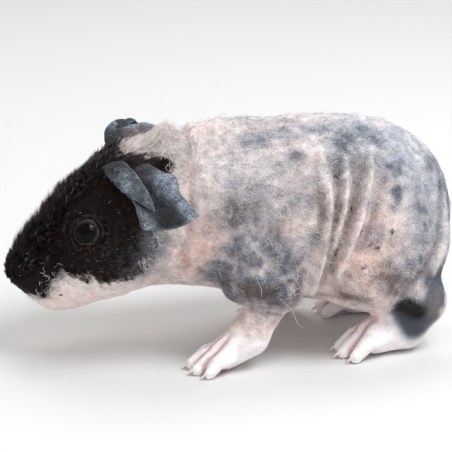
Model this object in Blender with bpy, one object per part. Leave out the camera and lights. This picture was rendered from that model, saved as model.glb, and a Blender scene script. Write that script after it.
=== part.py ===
"""Skinny pig pup, standing with its head low: a life-size still model in named solids.

The animal faces -X, its left side is -Y and the floor is z = 0. Shapes are worked out in
millimetres and turned into metres as each mesh is made. The flesh is one smooth form, the
sum of rounded masses, and thin gaps part it into head, neck, torso, legs and feet.
"""
import math

import bmesh
import bpy
import numpy as np
from mathutils import Matrix

METRES = 0.001
GAP = 0.3
QUARTER = math.pi / 2

# Head: its own axes start at the nose tip. s runs back to the nape, w to the side, t up.
NOSE_TIP = (-58.6, 0.0, 24.0)
HEAD_PITCH = math.radians(32)
HEAD_MASSES = (
    # centre (s, w, t), radii, fillet
    ((34.0, 0.0, -3.8), (15.0, 14.5, 14.5), 0.0),      # brain case
    ((24.0, 0.0, -6.2), (13.5, 12.4, 14.0), 5.0),      # between the eyes
    ((24.4, 8.2, -0.2), (7.0, 4.8, 6.0), 5.0),         # eye socket
    ((12.5, 0.0, -6.0), (12.5, 9.2, 11.0), 6.0),       # muzzle
    ((3.7, 0.0, -2.0), (4.6, 5.3, 4.5), 3.0),          # nose
    ((8.4, 3.7, -6.6), (6.2, 4.6, 4.7), 2.5),          # upper lip
    ((8.0, 0.0, -13.0), (6.0, 4.8, 4.6), 2.5),         # chin
    ((27.0, 7.0, -11.5), (12.5, 8.4, 9.5), 7.0),       # cheek
    ((16.0, 0.0, -12.8), (10.5, 7.4, 7.2), 4.0),       # lower jaw
    ((38.5, 8.4, 8.4), (7.2, 4.6, 5.0), 4.0),          # ear base
)

# Neck and trunk, in the animal's own axes. A mass off the middle is on both sides.
BODY_MASSES = (
    ((-16.0, 0.0, 38.2), (15.0, 16.5, 19.0), 8.0),     # neck
    ((-1.0, 0.0, 38.8), (21.0, 19.5, 22.4), 8.0),      # chest
    ((20.0, 0.0, 37.0), (28.0, 23.0, 24.2), 8.0),      # belly
    ((37.3, 0.0, 34.4), (22.6, 22.0, 24.9), 8.0),      # rump
    ((38.0, 13.0, 27.5), (18.0, 11.0, 14.0), 6.0),     # haunch
    ((8.0, 12.0, 30.0), (12.0, 8.8, 14.0), 6.0),       # shoulder
)

# Skin folds, seen from the side as lines of (x, z).
PLEATS = (
    ((22.0, 55.0), (22.6, 47.0), (21.9, 38.3), (20.3, 25.6)),
    ((27.5, 51.5), (26.4, 42.6), (23.4, 32.8)),
    ((33.8, 52.5), (31.2, 42.6), (27.1, 31.9), (24.2, 23.7)),
)
PLEAT_HEIGHT = 1.3
PLEAT_HALF_WIDTH = 1.3
NECK_CREASE = ((-9.5, 62.0), (-10.5, 40.0), (-13.0, 18.0))
CREASE_DEPTH = 1.1
CREASE_HALF_WIDTH = 1.7

# Spine: a cubic curve from inside the muzzle to inside the rump, which the rings follow.
SPINE = ((-51.0, 0.0, 21.5), (-24.0, 0.0, 43.0), (6.0, 0.0, 38.0), (39.0, 0.0, 31.0))
HEAD_END = 0.325
NECK_END = 0.450
PLEATS_START = 0.745
PLEATS_END = 0.950
BODY_SIDES = 38

# Eyes: where they look out, in the head's axes, and how deep the ball sits in the skin.
EYE_START = (23.7, 2.0, 0.9)
EYE_RADIUS = 3.7
EYE_DEPTH = 2.3
LID_HALF_WIDTH = 3.4
LID_HALF_HEIGHT = 2.95
LID_RADIUS = 0.75

MOUTH_START = (9.0, 0.0, -9.7)
MOUTH_SPREAD = math.radians(100)
MOUTH_RISE = 3.0
MOUTH_RADIUS = 0.45
NOSTRIL_RADIUS = 0.65

# Ears, root to tip: the line where the front margin folds over, the rear edge, and how
# wide the folded lobe is. The lobe lies back over the ear and opens out near the tip.
EARS = {
    "left": {
        "side": -1,
        "fold": ((-33.2, 7.0, 51.6), (-34.0, 11.5, 52.2), (-30.6, 15.5, 50.4), (-26.6, 19.0, 48.4),
                 (-24.4, 22.0, 45.6), (-22.2, 24.0, 42.8), (-19.8, 25.0, 40.8)),
        "rear": ((-24.8, 7.6, 53.2), (-25.0, 12.5, 54.2), (-21.2, 16.0, 54.1), (-17.4, 19.5, 53.7),
                 (-16.6, 22.0, 51.6), (-16.2, 23.0, 48.2), (-11.6, 24.0, 43.3)),
        "lobe": (3.2, 3.8, 4.0, 3.8, 2.8, 0.8, 2.0),
    },
    "right": {
        "side": 1,
        "fold": ((-29.5, 7.0, 52.5), (-29.3, 11.5, 54.4), (-27.2, 15.5, 54.6), (-24.8, 19.5, 53.2),
                 (-22.6, 23.0, 50.7), (-20.5, 25.5, 47.6), (-18.0, 27.5, 44.8)),
        "rear": ((-20.6, 7.6, 53.6), (-20.8, 12.5, 56.0), (-17.6, 16.0, 56.9), (-14.6, 19.5, 56.3),
                 (-12.9, 22.0, 55.0), (-12.2, 23.5, 53.0), (-9.4, 26.0, 49.9)),
        "lobe": (3.0, 3.0, 2.2, 1.2, 0.6, 0.6, 1.4),
    },
}
EAR_THICKNESS = 0.8
EAR_ROLL_LENGTH = 3.6
EAR_OPENS = (0.62, 0.80)
EAR_LOBE_SKEW = 0.65

# Legs: the shoulder or thigh is an egg cut from the trunk, then joints as (x, y, z).
ARM_SOCKET = ((6.0, 19.0, 26.0), (12.5, 8.5, 14.0))
THIGH_SOCKET = ((40.0, 21.0, 24.5), (18.0, 13.0, 17.5))
ELBOW_RADIUS = 7.0
WRIST_RADIUS = 5.2
KNEE_RADIUS = 7.4
HOCK_RADIUS = 6.3
PALM_RADIUS = 4.9
SOLE_RADIUS = 5.3
FORELEGS = {
    "left": {"side": -1, "elbow": (8.5, 18.0, 18.6), "wrist": (1.4, 19.8, 10.8),
             "knuckles": (-5.0, 19.8, 4.2), "heading": 6.0},
    "right": {"side": 1, "elbow": (14.6, 17.5, 17.8), "wrist": (20.0, 19.4, 10.4),
              "knuckles": (16.4, 20.4, 4.2), "heading": 6.0},
}
HINDLEGS = {
    "left": {"side": -1, "knee": (28.5, 17.0, 24.5), "hock": (49.8, 13.6, 13.2),
             "heel": (44.8, 13.8, 5.0), "ball": (36.4, 15.8, 4.8), "heading": 14.0},
    "right": {"side": 1, "knee": (28.5, 17.0, 24.5), "hock": (49.8, 13.6, 13.2),
              "heel": (46.6, 13.8, 5.0), "ball": (38.8, 15.2, 4.8), "heading": 8.0},
}
FORE_TOES = (
    # across the paw, splay in degrees, length, radius
    (-3.8, -16.0, 6.2, 1.8),
    (-1.4, -5.0, 8.0, 2.0),
    (1.3, 6.0, 7.6, 2.0),
    (3.7, 18.0, 5.6, 1.75),
)
HIND_TOES = (
    (-3.1, -9.0, 8.0, 2.1),
    (0.0, 0.0, 9.0, 2.25),
    (3.1, 9.0, 7.8, 2.1),
)
CLAW_LENGTH = 2.2
CLAW_RADIUS = 0.75

SKIN_COLOUR = (0.78, 0.60, 0.55)
PAW_COLOUR = (0.85, 0.66, 0.62)
FACE_COLOUR = (0.035, 0.026, 0.022)
EAR_COLOUR = (0.11, 0.125, 0.14)
EYE_COLOUR = (0.01, 0.009, 0.01)
CLAW_COLOUR = (0.72, 0.62, 0.56)


# Fields: each gives about how far a point is outside a form, and less than 0 inside it.


def ellipsoid(points, centre, radii):
    offset = points - np.array(centre)
    near = np.linalg.norm(offset / np.array(radii), axis=-1)
    slope = np.linalg.norm(offset / np.array(radii) ** 2, axis=-1)
    return near * (near - 1.0) / np.maximum(slope, 1e-9)


def melt(first, second, width):
    """The nearer of two forms, with a fillet about as wide as width where they meet."""
    share = np.clip(0.5 + 0.5 * (second - first) / width, 0.0, 1.0)
    return second * (1 - share) + first * share - width * share * (1 - share)


def line_distance(points, line):
    """How far each point is from a bent line, both seen from the side, as x and z."""
    flat = points[..., ::2]
    nearest = np.full(points.shape[:-1], 1e3)
    for start, end in zip(line[:-1], line[1:]):
        start, way = np.array(start), np.subtract(end, start)
        share = np.clip(((flat - start) @ way) / (way @ way), 0.0, 1.0)
        gap = np.linalg.norm(flat - start - share[..., None] * way, axis=-1)
        nearest = np.minimum(nearest, gap)
    return nearest


def folds(points):
    """How far the skin's pleats and neck crease move it: out where it is less than 0."""
    on_flank = np.clip(np.abs(points[..., 1]) / 16.0 - 0.35, 0.0, 1.0)
    moved = np.zeros(points.shape[:-1])
    for line in PLEATS:
        near = line_distance(points, line) / PLEAT_HALF_WIDTH
        moved -= PLEAT_HEIGHT * on_flank * np.exp(-near**2)
    near = line_distance(points, NECK_CREASE) / CREASE_HALF_WIDTH
    return moved + CREASE_DEPTH * np.exp(-near**2)


def to_head(points):
    """Places in the head's own axes: s back from the nose tip, w to the side, t up."""
    offset = points - np.array(NOSE_TIP)
    cos, sin = math.cos(HEAD_PITCH), math.sin(HEAD_PITCH)
    s = offset[..., 0] * cos + offset[..., 2] * sin
    t = -offset[..., 0] * sin + offset[..., 2] * cos
    return np.stack([s, offset[..., 1], t], axis=-1)


def from_head(place, is_way=False):
    """A place, or a direction, in the head's axes as x, y, z."""
    s, w, t = place
    cos, sin = math.cos(HEAD_PITCH), math.sin(HEAD_PITCH)
    turned = np.array([s * cos - t * sin, w, s * sin + t * cos])
    return turned if is_way else turned + np.array(NOSE_TIP)


def body_field(points):
    """The head, neck and trunk as one smooth form, with its folds."""
    sided = points * [1, 0, 1] + np.abs(points) * [0, 1, 0]
    in_head = to_head(sided)
    field = ellipsoid(in_head, *HEAD_MASSES[0][:2])
    for centre, radii, fillet in HEAD_MASSES[1:]:
        field = melt(field, ellipsoid(in_head, centre, radii), fillet)
    for centre, radii, fillet in BODY_MASSES:
        field = melt(field, ellipsoid(sided, centre, radii), fillet)
    return field + folds(points)


# Curves and rings.


def bezier(corners, shares):
    """Points and directions along the cubic curve that four corners draw."""
    share = np.asarray(shares, float)[..., None]
    a, b, c, d = (np.array(p, float) for p in corners)
    rest = 1 - share
    place = rest**3 * a + 3 * rest**2 * share * b + 3 * rest * share**2 * c + share**3 * d
    slope = 3 * (rest**2 * (b - a) + 2 * rest * share * (c - b) + share**2 * (d - c))
    return place, slope / np.linalg.norm(slope, axis=-1, keepdims=True)


def reach(field, starts, ways, level=0.0, furthest=45.0, steps=70):
    """How far each ray goes before the field passes level: a coarse march, then halving."""
    ladder = np.linspace(0.3, furthest, steps)
    inside = np.zeros(starts.shape[:-1])
    found = np.zeros(starts.shape[:-1], bool)
    for step in ladder:
        out = field(starts + ways * step) > level
        inside = np.where(found | out, inside, step)
        found |= out
    low, high = inside, inside + (ladder[1] - ladder[0])
    for _ in range(16):
        middle = (low + high) / 2
        out = field(starts + ways * middle[..., None]) > level
        low, high = np.where(out, low, middle), np.where(out, middle, high)
    return (low + high) / 2


def body_rings(shares, leans, grow=0.0):
    """Rings of the skin round the spine. Lean 0 is square to it, a quarter turn along it."""
    place, slope = bezier(SPINE, shares)
    beside = np.array([0.0, 1.0, 0.0])
    above = np.cross(slope, beside)
    turns = np.arange(BODY_SIDES) / BODY_SIDES * 2 * math.pi
    out = np.cos(turns)[:, None] * above[:, None] + np.sin(turns)[:, None] * beside
    lean = np.asarray(leans)[:, None, None]
    ways = np.cos(lean) * out + np.sin(lean) * slope[:, None]
    starts = place[:, None] + 0 * ways
    return starts + ways * reach(body_field, starts, ways, grow)[..., None]


def head_rings(grow=0.0, end=HEAD_END):
    leans = -np.linspace(QUARTER, 0, 9)[1:-1]
    cap = body_rings(0 * leans, leans, grow)
    shares = np.linspace(0, end, 20)
    return np.vstack([cap, body_rings(shares, 0 * shares, grow)])


def neck_rings(grow=0.0):
    shares = np.linspace(HEAD_END + 0.0028, NECK_END, 6)
    return body_rings(shares, 0 * shares, grow)


def head_and_neck_rings(grow):
    leans = -np.linspace(QUARTER, 0, 10)[1:-1]
    cap = body_rings(0 * leans, leans, grow)
    shares = np.linspace(0, NECK_END + 0.1, 34)
    return np.vstack([cap, body_rings(shares, 0 * shares, grow)])


def torso_rings(grow=0.0):
    shares = np.concatenate([
        np.linspace(NECK_END + 0.0028, PLEATS_START, 10)[:-1],
        np.linspace(PLEATS_START, PLEATS_END, 18)[:-1],
        np.linspace(PLEATS_END, 1.0, 4),
    ])
    leans = np.linspace(0, QUARTER, 9)[1:-1]
    cap = body_rings(1 + 0 * leans, leans, grow)
    return np.vstack([body_rings(shares, 0 * shares, grow), cap])


def tube_rings(corners, radii, sides=12, count=9, grow=0.0):
    """Rings along a cubic curve, rounded at both ends."""
    shares = (1 - np.cos(np.linspace(0, math.pi, count + 2)[1:-1])) / 2
    place, slope = bezier(corners, shares)
    length = np.linalg.norm(np.diff(bezier(corners, np.linspace(0, 1, 30))[0], axis=0), axis=1).sum()
    radius = np.interp(shares, np.linspace(0, 1, len(radii)), radii)
    near_end = np.minimum(shares, 1 - shares) * length / radius
    radius = radius * np.sqrt(1 - (1 - np.minimum(near_end, 1)) ** 2) + grow
    place = place + slope * (grow * np.sign(shares - 0.5) * (near_end < 1))[:, None]
    helper = np.array([0.0, 0.0, 1.0]) if abs(slope[0, 2]) < 0.8 else np.array([1.0, 0.0, 0.0])
    beside = np.cross(helper, slope)
    beside = beside / np.linalg.norm(beside, axis=1, keepdims=True)
    above = np.cross(slope, beside)
    turns = np.arange(sides) / sides * 2 * math.pi
    out = np.cos(turns)[:, None] * above[:, None] + np.sin(turns)[:, None] * beside[:, None]
    return place[:, None] + radius[:, None, None] * out


def egg_rings(centre, radii, count=9, sides=18):
    """An ellipsoid as rings along its own x axis."""
    leans = np.linspace(-QUARTER, QUARTER, count + 2)[1:-1, None]
    turns = np.arange(sides) / sides * 2 * math.pi
    unit = np.stack([np.sin(leans) + 0 * turns, np.cos(leans) * np.sin(turns),
                     np.cos(leans) * np.cos(turns)], -1)
    return unit * np.array(radii) + np.array(centre)


# Meshes.


def finish(colour, roughness):
    label = "finish_" + "_".join(str(int(1000 * part)) for part in (*colour, roughness))
    made = bpy.data.materials.get(label)
    if made is None:
        made = bpy.data.materials.new(label)
        made.use_nodes = True
        shader = made.node_tree.nodes["Principled BSDF"]
        shader.inputs["Base Color"].default_value = (*colour, 1.0)
        shader.inputs["Roughness"].default_value = roughness
    return made


def add_mesh(name, points, faces, colour=SKIN_COLOUR, roughness=0.6):
    mesh = bpy.data.meshes.new(name)
    mesh.from_pydata((points * METRES).tolist(), [], faces)
    thing = bpy.data.objects.new(name, mesh)
    bpy.context.scene.collection.objects.link(thing)
    volume = sum(
        np.dot(points[f[0]], np.cross(points[f[k]], points[f[k + 1]]))
        for f in faces for k in range(1, len(f) - 1)
    )
    if volume < 0:
        mesh.flip_normals()
    mesh.materials.append(finish(colour, roughness))
    return thing


def closed_rings(name, rings, colour=SKIN_COLOUR, roughness=0.6):
    """An object from rings of points, closed at both ends by a fan to the ring's middle."""
    count, sides, _ = rings.shape
    ring = np.arange(count * sides).reshape(count, sides)
    a, b = ring[:-1], ring[1:]
    quads = np.stack([a, np.roll(a, -1, 1), np.roll(b, -1, 1), b], -1).reshape(-1, 4)
    first, last = count * sides, count * sides + 1
    after = np.roll(ring, -1, 1)
    ends = [[first, int(after[0, k]), int(ring[0, k])] for k in range(sides)]
    ends += [[last, int(ring[-1, k]), int(after[-1, k])] for k in range(sides)]
    points = np.vstack([rings.reshape(-1, 3), rings[0].mean(0), rings[-1].mean(0)])
    return add_mesh(name, points, quads.tolist() + ends, colour, roughness)


def combine(target, others, operation, keep_others=False):
    """Applies a Boolean between target and each of the others in turn, in triangles."""
    for other in others:
        step = target.modifiers.new("step", "BOOLEAN")
        step.operation, step.solver, step.object = operation, "EXACT", other
        graph = bpy.context.evaluated_depsgraph_get()
        made = bpy.data.meshes.new_from_object(target.evaluated_get(graph))
        target.modifiers.clear()
        shape = bmesh.new()
        shape.from_mesh(made)
        bmesh.ops.triangulate(shape, faces=shape.faces)
        bmesh.ops.remove_doubles(shape, verts=shape.verts, dist=0.002 * METRES)
        bmesh.ops.dissolve_degenerate(shape, edges=shape.edges, dist=0.002 * METRES)
        shape.to_mesh(made)
        shape.free()
        target.data = made
    if not keep_others:
        for other in others:
            bpy.data.objects.remove(other)
    return target


def copy_of(thing, name):
    made = bpy.data.objects.new(name, thing.data.copy())
    bpy.context.scene.collection.objects.link(made)
    return made


def sided(place, side):
    return np.array(place, float) * [1, side, 1]


# Head.


def skin_normal(point):
    """The skin's outward direction near a point."""
    step = np.eye(3) * 0.2
    slope = np.array([body_field(point + way) - body_field(point - way) for way in step])
    return slope / np.linalg.norm(slope)


def eye_frame(side):
    """Centre of the eye, and unit directions out of it, back along the lids, and up."""
    start = sided(from_head(EYE_START), side)
    way = np.array([0.0, 1.0 * side, 0.0])
    skin = start + way * reach(body_field, start, way)
    out = skin_normal(skin)
    back = from_head((1, 0, 0), True)
    back = back - out * (back @ out)
    back = back / np.linalg.norm(back)
    return skin - out * EYE_DEPTH, out, back, np.cross(out, back) * -side


def eyeball(name, side, radius, sides=16):
    centre, out, back, up = eye_frame(side)
    leans = np.linspace(-QUARTER, QUARTER, 11)[1:-1, None, None]
    turns = (np.arange(sides) / sides * 2 * math.pi)[None, :, None]
    unit = np.sin(leans) * out + np.cos(leans) * (np.cos(turns) * back + np.sin(turns) * up)
    return closed_rings(name, centre + radius * unit, EYE_COLOUR, 0.1)


def eyelids(side, count=22, sides=6):
    """Both lids as one raised ring, an almond seen from the side, bent round the eyeball."""
    centre, out, back, up = eye_frame(side)
    turn = (np.arange(count) / count * 2 * math.pi)[:, None]
    across = LID_HALF_WIDTH * np.cos(turn) * back + LID_HALF_HEIGHT * np.sin(turn) * up
    width = np.linalg.norm(across, axis=1, keepdims=True)
    lift = np.sqrt((EYE_RADIUS + 0.35) ** 2 - width**2)
    middle = centre + across + lift * out
    away = across / width
    spin = np.arange(sides) / sides * 2 * math.pi
    ring = np.cos(spin)[:, None] * away[:, None] + np.sin(spin)[:, None] * out
    points = (middle[:, None] + LID_RADIUS * ring).reshape(-1, 3)
    index = np.arange(count * sides).reshape(count, sides)
    ahead = np.roll(index, -1, 0)
    quads = np.stack([index, ahead, np.roll(ahead, -1, 1), np.roll(index, -1, 1)], -1)
    return add_mesh("lids", points, quads.reshape(-1, 4).tolist())


def mouth_cutter():
    """A thin rod that follows the skin round the front of the muzzle, from cheek to cheek."""
    turns = np.linspace(-MOUTH_SPREAD, MOUTH_SPREAD, 17)
    rise = MOUTH_RISE * np.abs(turns) / MOUTH_SPREAD
    ways = np.stack([-np.cos(turns), np.sin(turns), 0 * turns], -1)
    ways = np.array([from_head(way, True) for way in ways])
    starts = np.array([from_head((MOUTH_START[0], 0, MOUTH_START[2] + up)) for up in rise])
    path = starts + ways * reach(body_field, starts, ways)[:, None]
    return rod_along("mouth", path, MOUTH_RADIUS)


def rod_along(name, path, radius, sides=6):
    """A rod of one thickness through the given points, with flat ends."""
    slope = np.gradient(path, axis=0)
    slope = slope / np.linalg.norm(slope, axis=1, keepdims=True)
    above = np.array([0.0, 0.0, 1.0]) - slope * slope[:, 2:]
    above = above / np.linalg.norm(above, axis=1, keepdims=True)
    beside = np.cross(above, slope)
    turns = np.arange(sides) / sides * 2 * math.pi
    out = np.cos(turns)[:, None] * above[:, None] + np.sin(turns)[:, None] * beside[:, None]
    return closed_rings(name, path[:, None] + radius * out)


def nostril_cutter(side):
    corners = [from_head(place) for place in (
        (-1.5, side * 1.7, -2.6), (0.6, side * 2.0, -1.2), (1.6, side * 3.0, 0.2),
        (1.2, side * 4.4, 0.4))]
    return closed_rings("nostril", tube_rings(corners, (NOSTRIL_RADIUS,) * 2, 8, 7))


def make_head():
    head = closed_rings("head", head_rings(), FACE_COLOUR, 0.8)
    combine(head, [eyelids(-1), eyelids(1)], "UNION")
    cutters = [mouth_cutter(), nostril_cutter(-1), nostril_cutter(1)]
    cutters += [eyeball("socket", side, EYE_RADIUS + GAP) for side in (-1, 1)]
    combine(head, cutters, "DIFFERENCE")
    eyeball("eye_left", -1, EYE_RADIUS)
    eyeball("eye_right", 1, EYE_RADIUS)
    return head


# Ears.


def through(knots, shares):
    """A smooth line through every knot, which are at even shares from 0 to 1."""
    knots = np.array(knots, float)
    padded = np.concatenate([[2 * knots[0] - knots[1]], knots, [2 * knots[-1] - knots[-2]]])
    at = np.clip(np.asarray(shares) * (len(knots) - 1), 0, len(knots) - 1 - 1e-9)
    first = at.astype(int)
    t = (at - first).reshape((-1,) + (1,) * (knots.ndim - 1))
    a, b, c, d = (padded[first + k] for k in range(4))
    return 0.5 * (2 * b + (c - a) * t + (2 * a - 5 * b + 4 * c - d) * t**2
                  + (3 * b - a - 3 * c + d) * t**3)


def ear_sheet(ear, rows=15, columns=15):
    """The middle of the ear's sheet, in rows from root to tip, and its normals.

    A row starts at the rear edge and crosses to the fold. There the sheet turns by an angle
    that grows to a half circle, so the lobe beyond lies back over the ear. Towards the tip
    the angle shrinks and the lobe opens out. Each row is the sum of small steps, every step
    along (cos angle, sin angle) in the plane of forward and outward. The lobe also slants
    towards the tip of the ear.
    """
    side = ear["side"]
    shares = np.linspace(0, 1, rows)
    fold = through([sided(p, side) for p in ear["fold"]], shares)
    rear = through([sided(p, side) for p in ear["rear"]], shares)
    lobe = through(ear["lobe"], shares)
    width = np.linalg.norm(fold - rear, axis=1)
    forward = (fold - rear) / width[:, None]
    down = np.gradient((fold + rear) / 2, axis=0)
    outward = np.cross(down, forward) * side
    outward = outward / np.linalg.norm(outward, axis=1, keepdims=True)
    opened = np.clip((shares - EAR_OPENS[0]) / (EAR_OPENS[1] - EAR_OPENS[0]), 0, 1)
    turn = math.radians(176) + math.radians(20 - 176) * opened**2 * (3 - 2 * opened)
    total = width + EAR_ROLL_LENGTH + lobe
    cross = np.concatenate([np.linspace(0, 0.5, columns // 2 + 1)[:-1],
                            np.linspace(0.5, 1, columns - columns // 2)])
    split = (width / total)[:, None]
    along = np.where(cross < 0.5, cross * 2 * split, split + (cross - 0.5) * 2 * (1 - split))
    along = along * total[:, None]
    rolled = np.clip((along - width[:, None]) / EAR_ROLL_LENGTH, 0, 1)
    angle = turn[:, None] * rolled
    step = np.diff(along, axis=1)
    middle = (angle[:, 1:] + angle[:, :-1]) / 2
    ahead = np.hstack([np.zeros((rows, 1)), np.cumsum(np.cos(middle) * step, axis=1)])
    aside = np.hstack([np.zeros((rows, 1)), np.cumsum(np.sin(middle) * step, axis=1)])
    across = np.clip(along / width[:, None], 0, 1)
    wave = 1.2 * np.sin(across * math.pi * 2.0) * shares[:, None]
    aside = aside - wave * (rolled == 0)
    sheet = rear[:, None] + ahead[..., None] * forward[:, None] + aside[..., None] * outward[:, None]
    slant = EAR_LOBE_SKEW * np.maximum(along - width[:, None] - EAR_ROLL_LENGTH / 2, 0)
    down = down / np.linalg.norm(down, axis=1, keepdims=True)
    sheet = sheet + (slant * (1 - opened[:, None]))[..., None] * down[:, None]
    normal = np.cross(np.gradient(sheet, axis=0), np.gradient(sheet, axis=1))
    normal = normal / np.linalg.norm(normal, axis=-1, keepdims=True)
    return sheet, normal


def make_ear(name, ear):
    sheet, normal = ear_sheet(ear)
    made = sheet_solid(name, sheet, normal, EAR_THICKNESS, EAR_COLOUR)
    room = closed_rings("room", head_and_neck_rings(GAP))
    combine(made, [room], "DIFFERENCE")


def sheet_solid(name, sheet, normal, thickness, colour):
    """A closed plate of one thickness from a grid, split into triangles alike on both faces."""
    rows, columns, _ = sheet.shape
    front = (sheet + normal * thickness / 2).reshape(-1, 3)
    back = (sheet - normal * thickness / 2).reshape(-1, 3)
    index = np.arange(rows * columns).reshape(rows, columns)
    a, b, c, d = index[:-1, :-1], index[1:, :-1], index[1:, 1:], index[:-1, 1:]
    upper = np.concatenate([np.stack([a, b, c], -1), np.stack([a, c, d], -1)]).reshape(-1, 3)
    lower = upper[:, ::-1] + rows * columns
    rim = np.concatenate([index[0, :-1], index[:-1, -1], index[-1, :0:-1], index[:0:-1, 0]])
    after = np.roll(rim, -1)
    under = rows * columns
    side_a = np.stack([rim, after, after + under], -1)
    side_b = np.stack([rim, after + under, rim + under], -1)
    faces = np.concatenate([upper, lower, side_a, side_b])
    return add_mesh(name, np.vstack([front, back]), faces.tolist(), colour, 0.55)


# Legs and feet.


def limb_rings(leg, ends, radii, grow=0.0):
    start, end = (sided(leg[k], leg["side"]) for k in ends)
    corners = (start, start * 0.67 + end * 0.33, start * 0.33 + end * 0.67, end)
    way = (end - start) / np.linalg.norm(end - start)
    corners = (start - way * radii[0], corners[1], corners[2], end + way * radii[-1])
    return tube_rings(corners, radii, 12, 8, grow)


def foot_pieces(leg, ends, radius, toes, grow=0.0):
    """The sole and each toe as rings, and where every toe ends and points."""
    side = leg["side"]
    back, front = (sided(leg[k], side) for k in ends)
    way = (front - back) / np.linalg.norm(front - back)
    base = math.radians(leg["heading"])
    level = np.array([-math.cos(base), side * math.sin(base), 0.0])
    beside = np.array([math.sin(base), side * math.cos(base), 0.0])
    corners = (back - way * radius * 0.8, back * 0.6 + front * 0.4, front - level * radius * 0.5,
               front + level * radius * 0.6)
    pieces = [tube_rings(corners, (radius, radius * 1.04, radius * 0.96), 12, 8, grow)]
    tips = []
    for across, splay, length, thick in toes:
        angle = base + math.radians(splay)
        way = np.array([-math.cos(angle), side * math.sin(angle), 0.0])
        root = front + beside * across
        root[2] = front[2] + 0.2
        knuckle = root + way * length * 0.5
        knuckle[2] = front[2] + 0.6
        tip = root + way * (length + thick)
        tip[2] = thick * 0.55
        corners = (root - way * 2.0, knuckle, tip - way * thick * 1.2, tip)
        pieces.append(tube_rings(corners, (thick * 1.1, thick, thick * 0.9), 8, 6, grow))
        tips.append((tip, way, thick))
    return pieces, tips


def join_rings(name, groups, colour=SKIN_COLOUR):
    joined = closed_rings(name, groups[0], colour)
    combine(joined, [closed_rings("piece", rings) for rings in groups[1:]], "UNION")
    return joined


def cut_flat(thing):
    """Cuts away whatever is under the floor."""
    corners = np.array([(x, y, z) for z in (-20.0, 0.0) for y in (-90.0, 90.0) for x in (-90.0, 90.0)])
    faces = [[0, 1, 3, 2], [4, 6, 7, 5], [0, 4, 5, 1], [2, 3, 7, 6], [0, 2, 6, 4], [1, 5, 7, 3]]
    combine(thing, [add_mesh("floor", corners, faces)], "DIFFERENCE")


def make_claws(label, tips, foot_grown):
    for number, (tip, way, thick) in enumerate(tips, 1):
        start = tip - way * 0.8 + [0, 0, thick * 0.55]
        end = tip + way * CLAW_LENGTH
        end[2] = 0.5
        middle = (start + end) / 2 + [0, 0, 0.6]
        rings = tube_rings((start, middle, middle, end), (CLAW_RADIUS, 0.34), 6, 4)
        claw = closed_rings(f"claw_{label}_{number}", rings, CLAW_COLOUR, 0.35)
        combine(claw, [foot_grown], "DIFFERENCE", keep_others=True)


def make_leg(label, leg, torso, socket, bone, foot):
    """A leg, its foot and claws. Returns the cutters that make room for it in the torso."""
    side = leg["side"]
    centre, radii = sided(socket[0], side), np.array(socket[1])
    limb = copy_of(torso, label)
    combine(limb, [closed_rings("egg", egg_rings(centre, radii))], "INTERSECT")
    combine(limb, [closed_rings("bone", limb_rings(leg, *bone))], "UNION")
    pieces, tips = foot_pieces(leg, *foot)
    name = label.replace("foreleg", "forepaw").replace("hindleg", "hindfoot")
    foot_thing = join_rings(name, pieces, PAW_COLOUR)
    cut_flat(foot_thing)
    combine(foot_thing, [closed_rings("clear", limb_rings(leg, *bone, grow=GAP))], "DIFFERENCE")
    grown = join_rings("grown", foot_pieces(leg, *foot, grow=GAP)[0])
    make_claws(label.replace("leg", ""), tips, grown)
    bpy.data.objects.remove(grown)
    return [closed_rings("egg", egg_rings(centre, radii + GAP)),
            closed_rings("bone", limb_rings(leg, *bone, grow=GAP))]


def centre_on_floor():
    """Moves everything so the whole is centred over the origin."""
    things = [thing for thing in bpy.data.objects if thing.type == "MESH"]
    corners = np.array([corner.co[:] for thing in things for corner in thing.data.vertices])
    middle = (corners.min(0) + corners.max(0)) / 2
    for thing in things:
        thing.data.transform(Matrix.Translation((-middle[0], -middle[1], 0.0)))


def main():
    for thing in list(bpy.data.objects):
        bpy.data.objects.remove(thing)
    make_head()
    closed_rings("neck", neck_rings())
    torso = closed_rings("torso", torso_rings())
    cutters = []
    for side, leg in HINDLEGS.items():
        bone = (("knee", "hock"), (KNEE_RADIUS, HOCK_RADIUS))
        foot = (("heel", "ball"), SOLE_RADIUS, HIND_TOES)
        cutters += make_leg(f"hindleg_{side}", leg, torso, THIGH_SOCKET, bone, foot)
    for side, leg in FORELEGS.items():
        bone = (("elbow", "wrist"), (ELBOW_RADIUS, WRIST_RADIUS))
        foot = (("wrist", "knuckles"), PALM_RADIUS, FORE_TOES)
        cutters += make_leg(f"foreleg_{side}", leg, torso, ARM_SOCKET, bone, foot)
    combine(torso, cutters, "DIFFERENCE")
    for side, ear in EARS.items():
        make_ear(f"ear_{side}", ear)
    centre_on_floor()


main()
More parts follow.
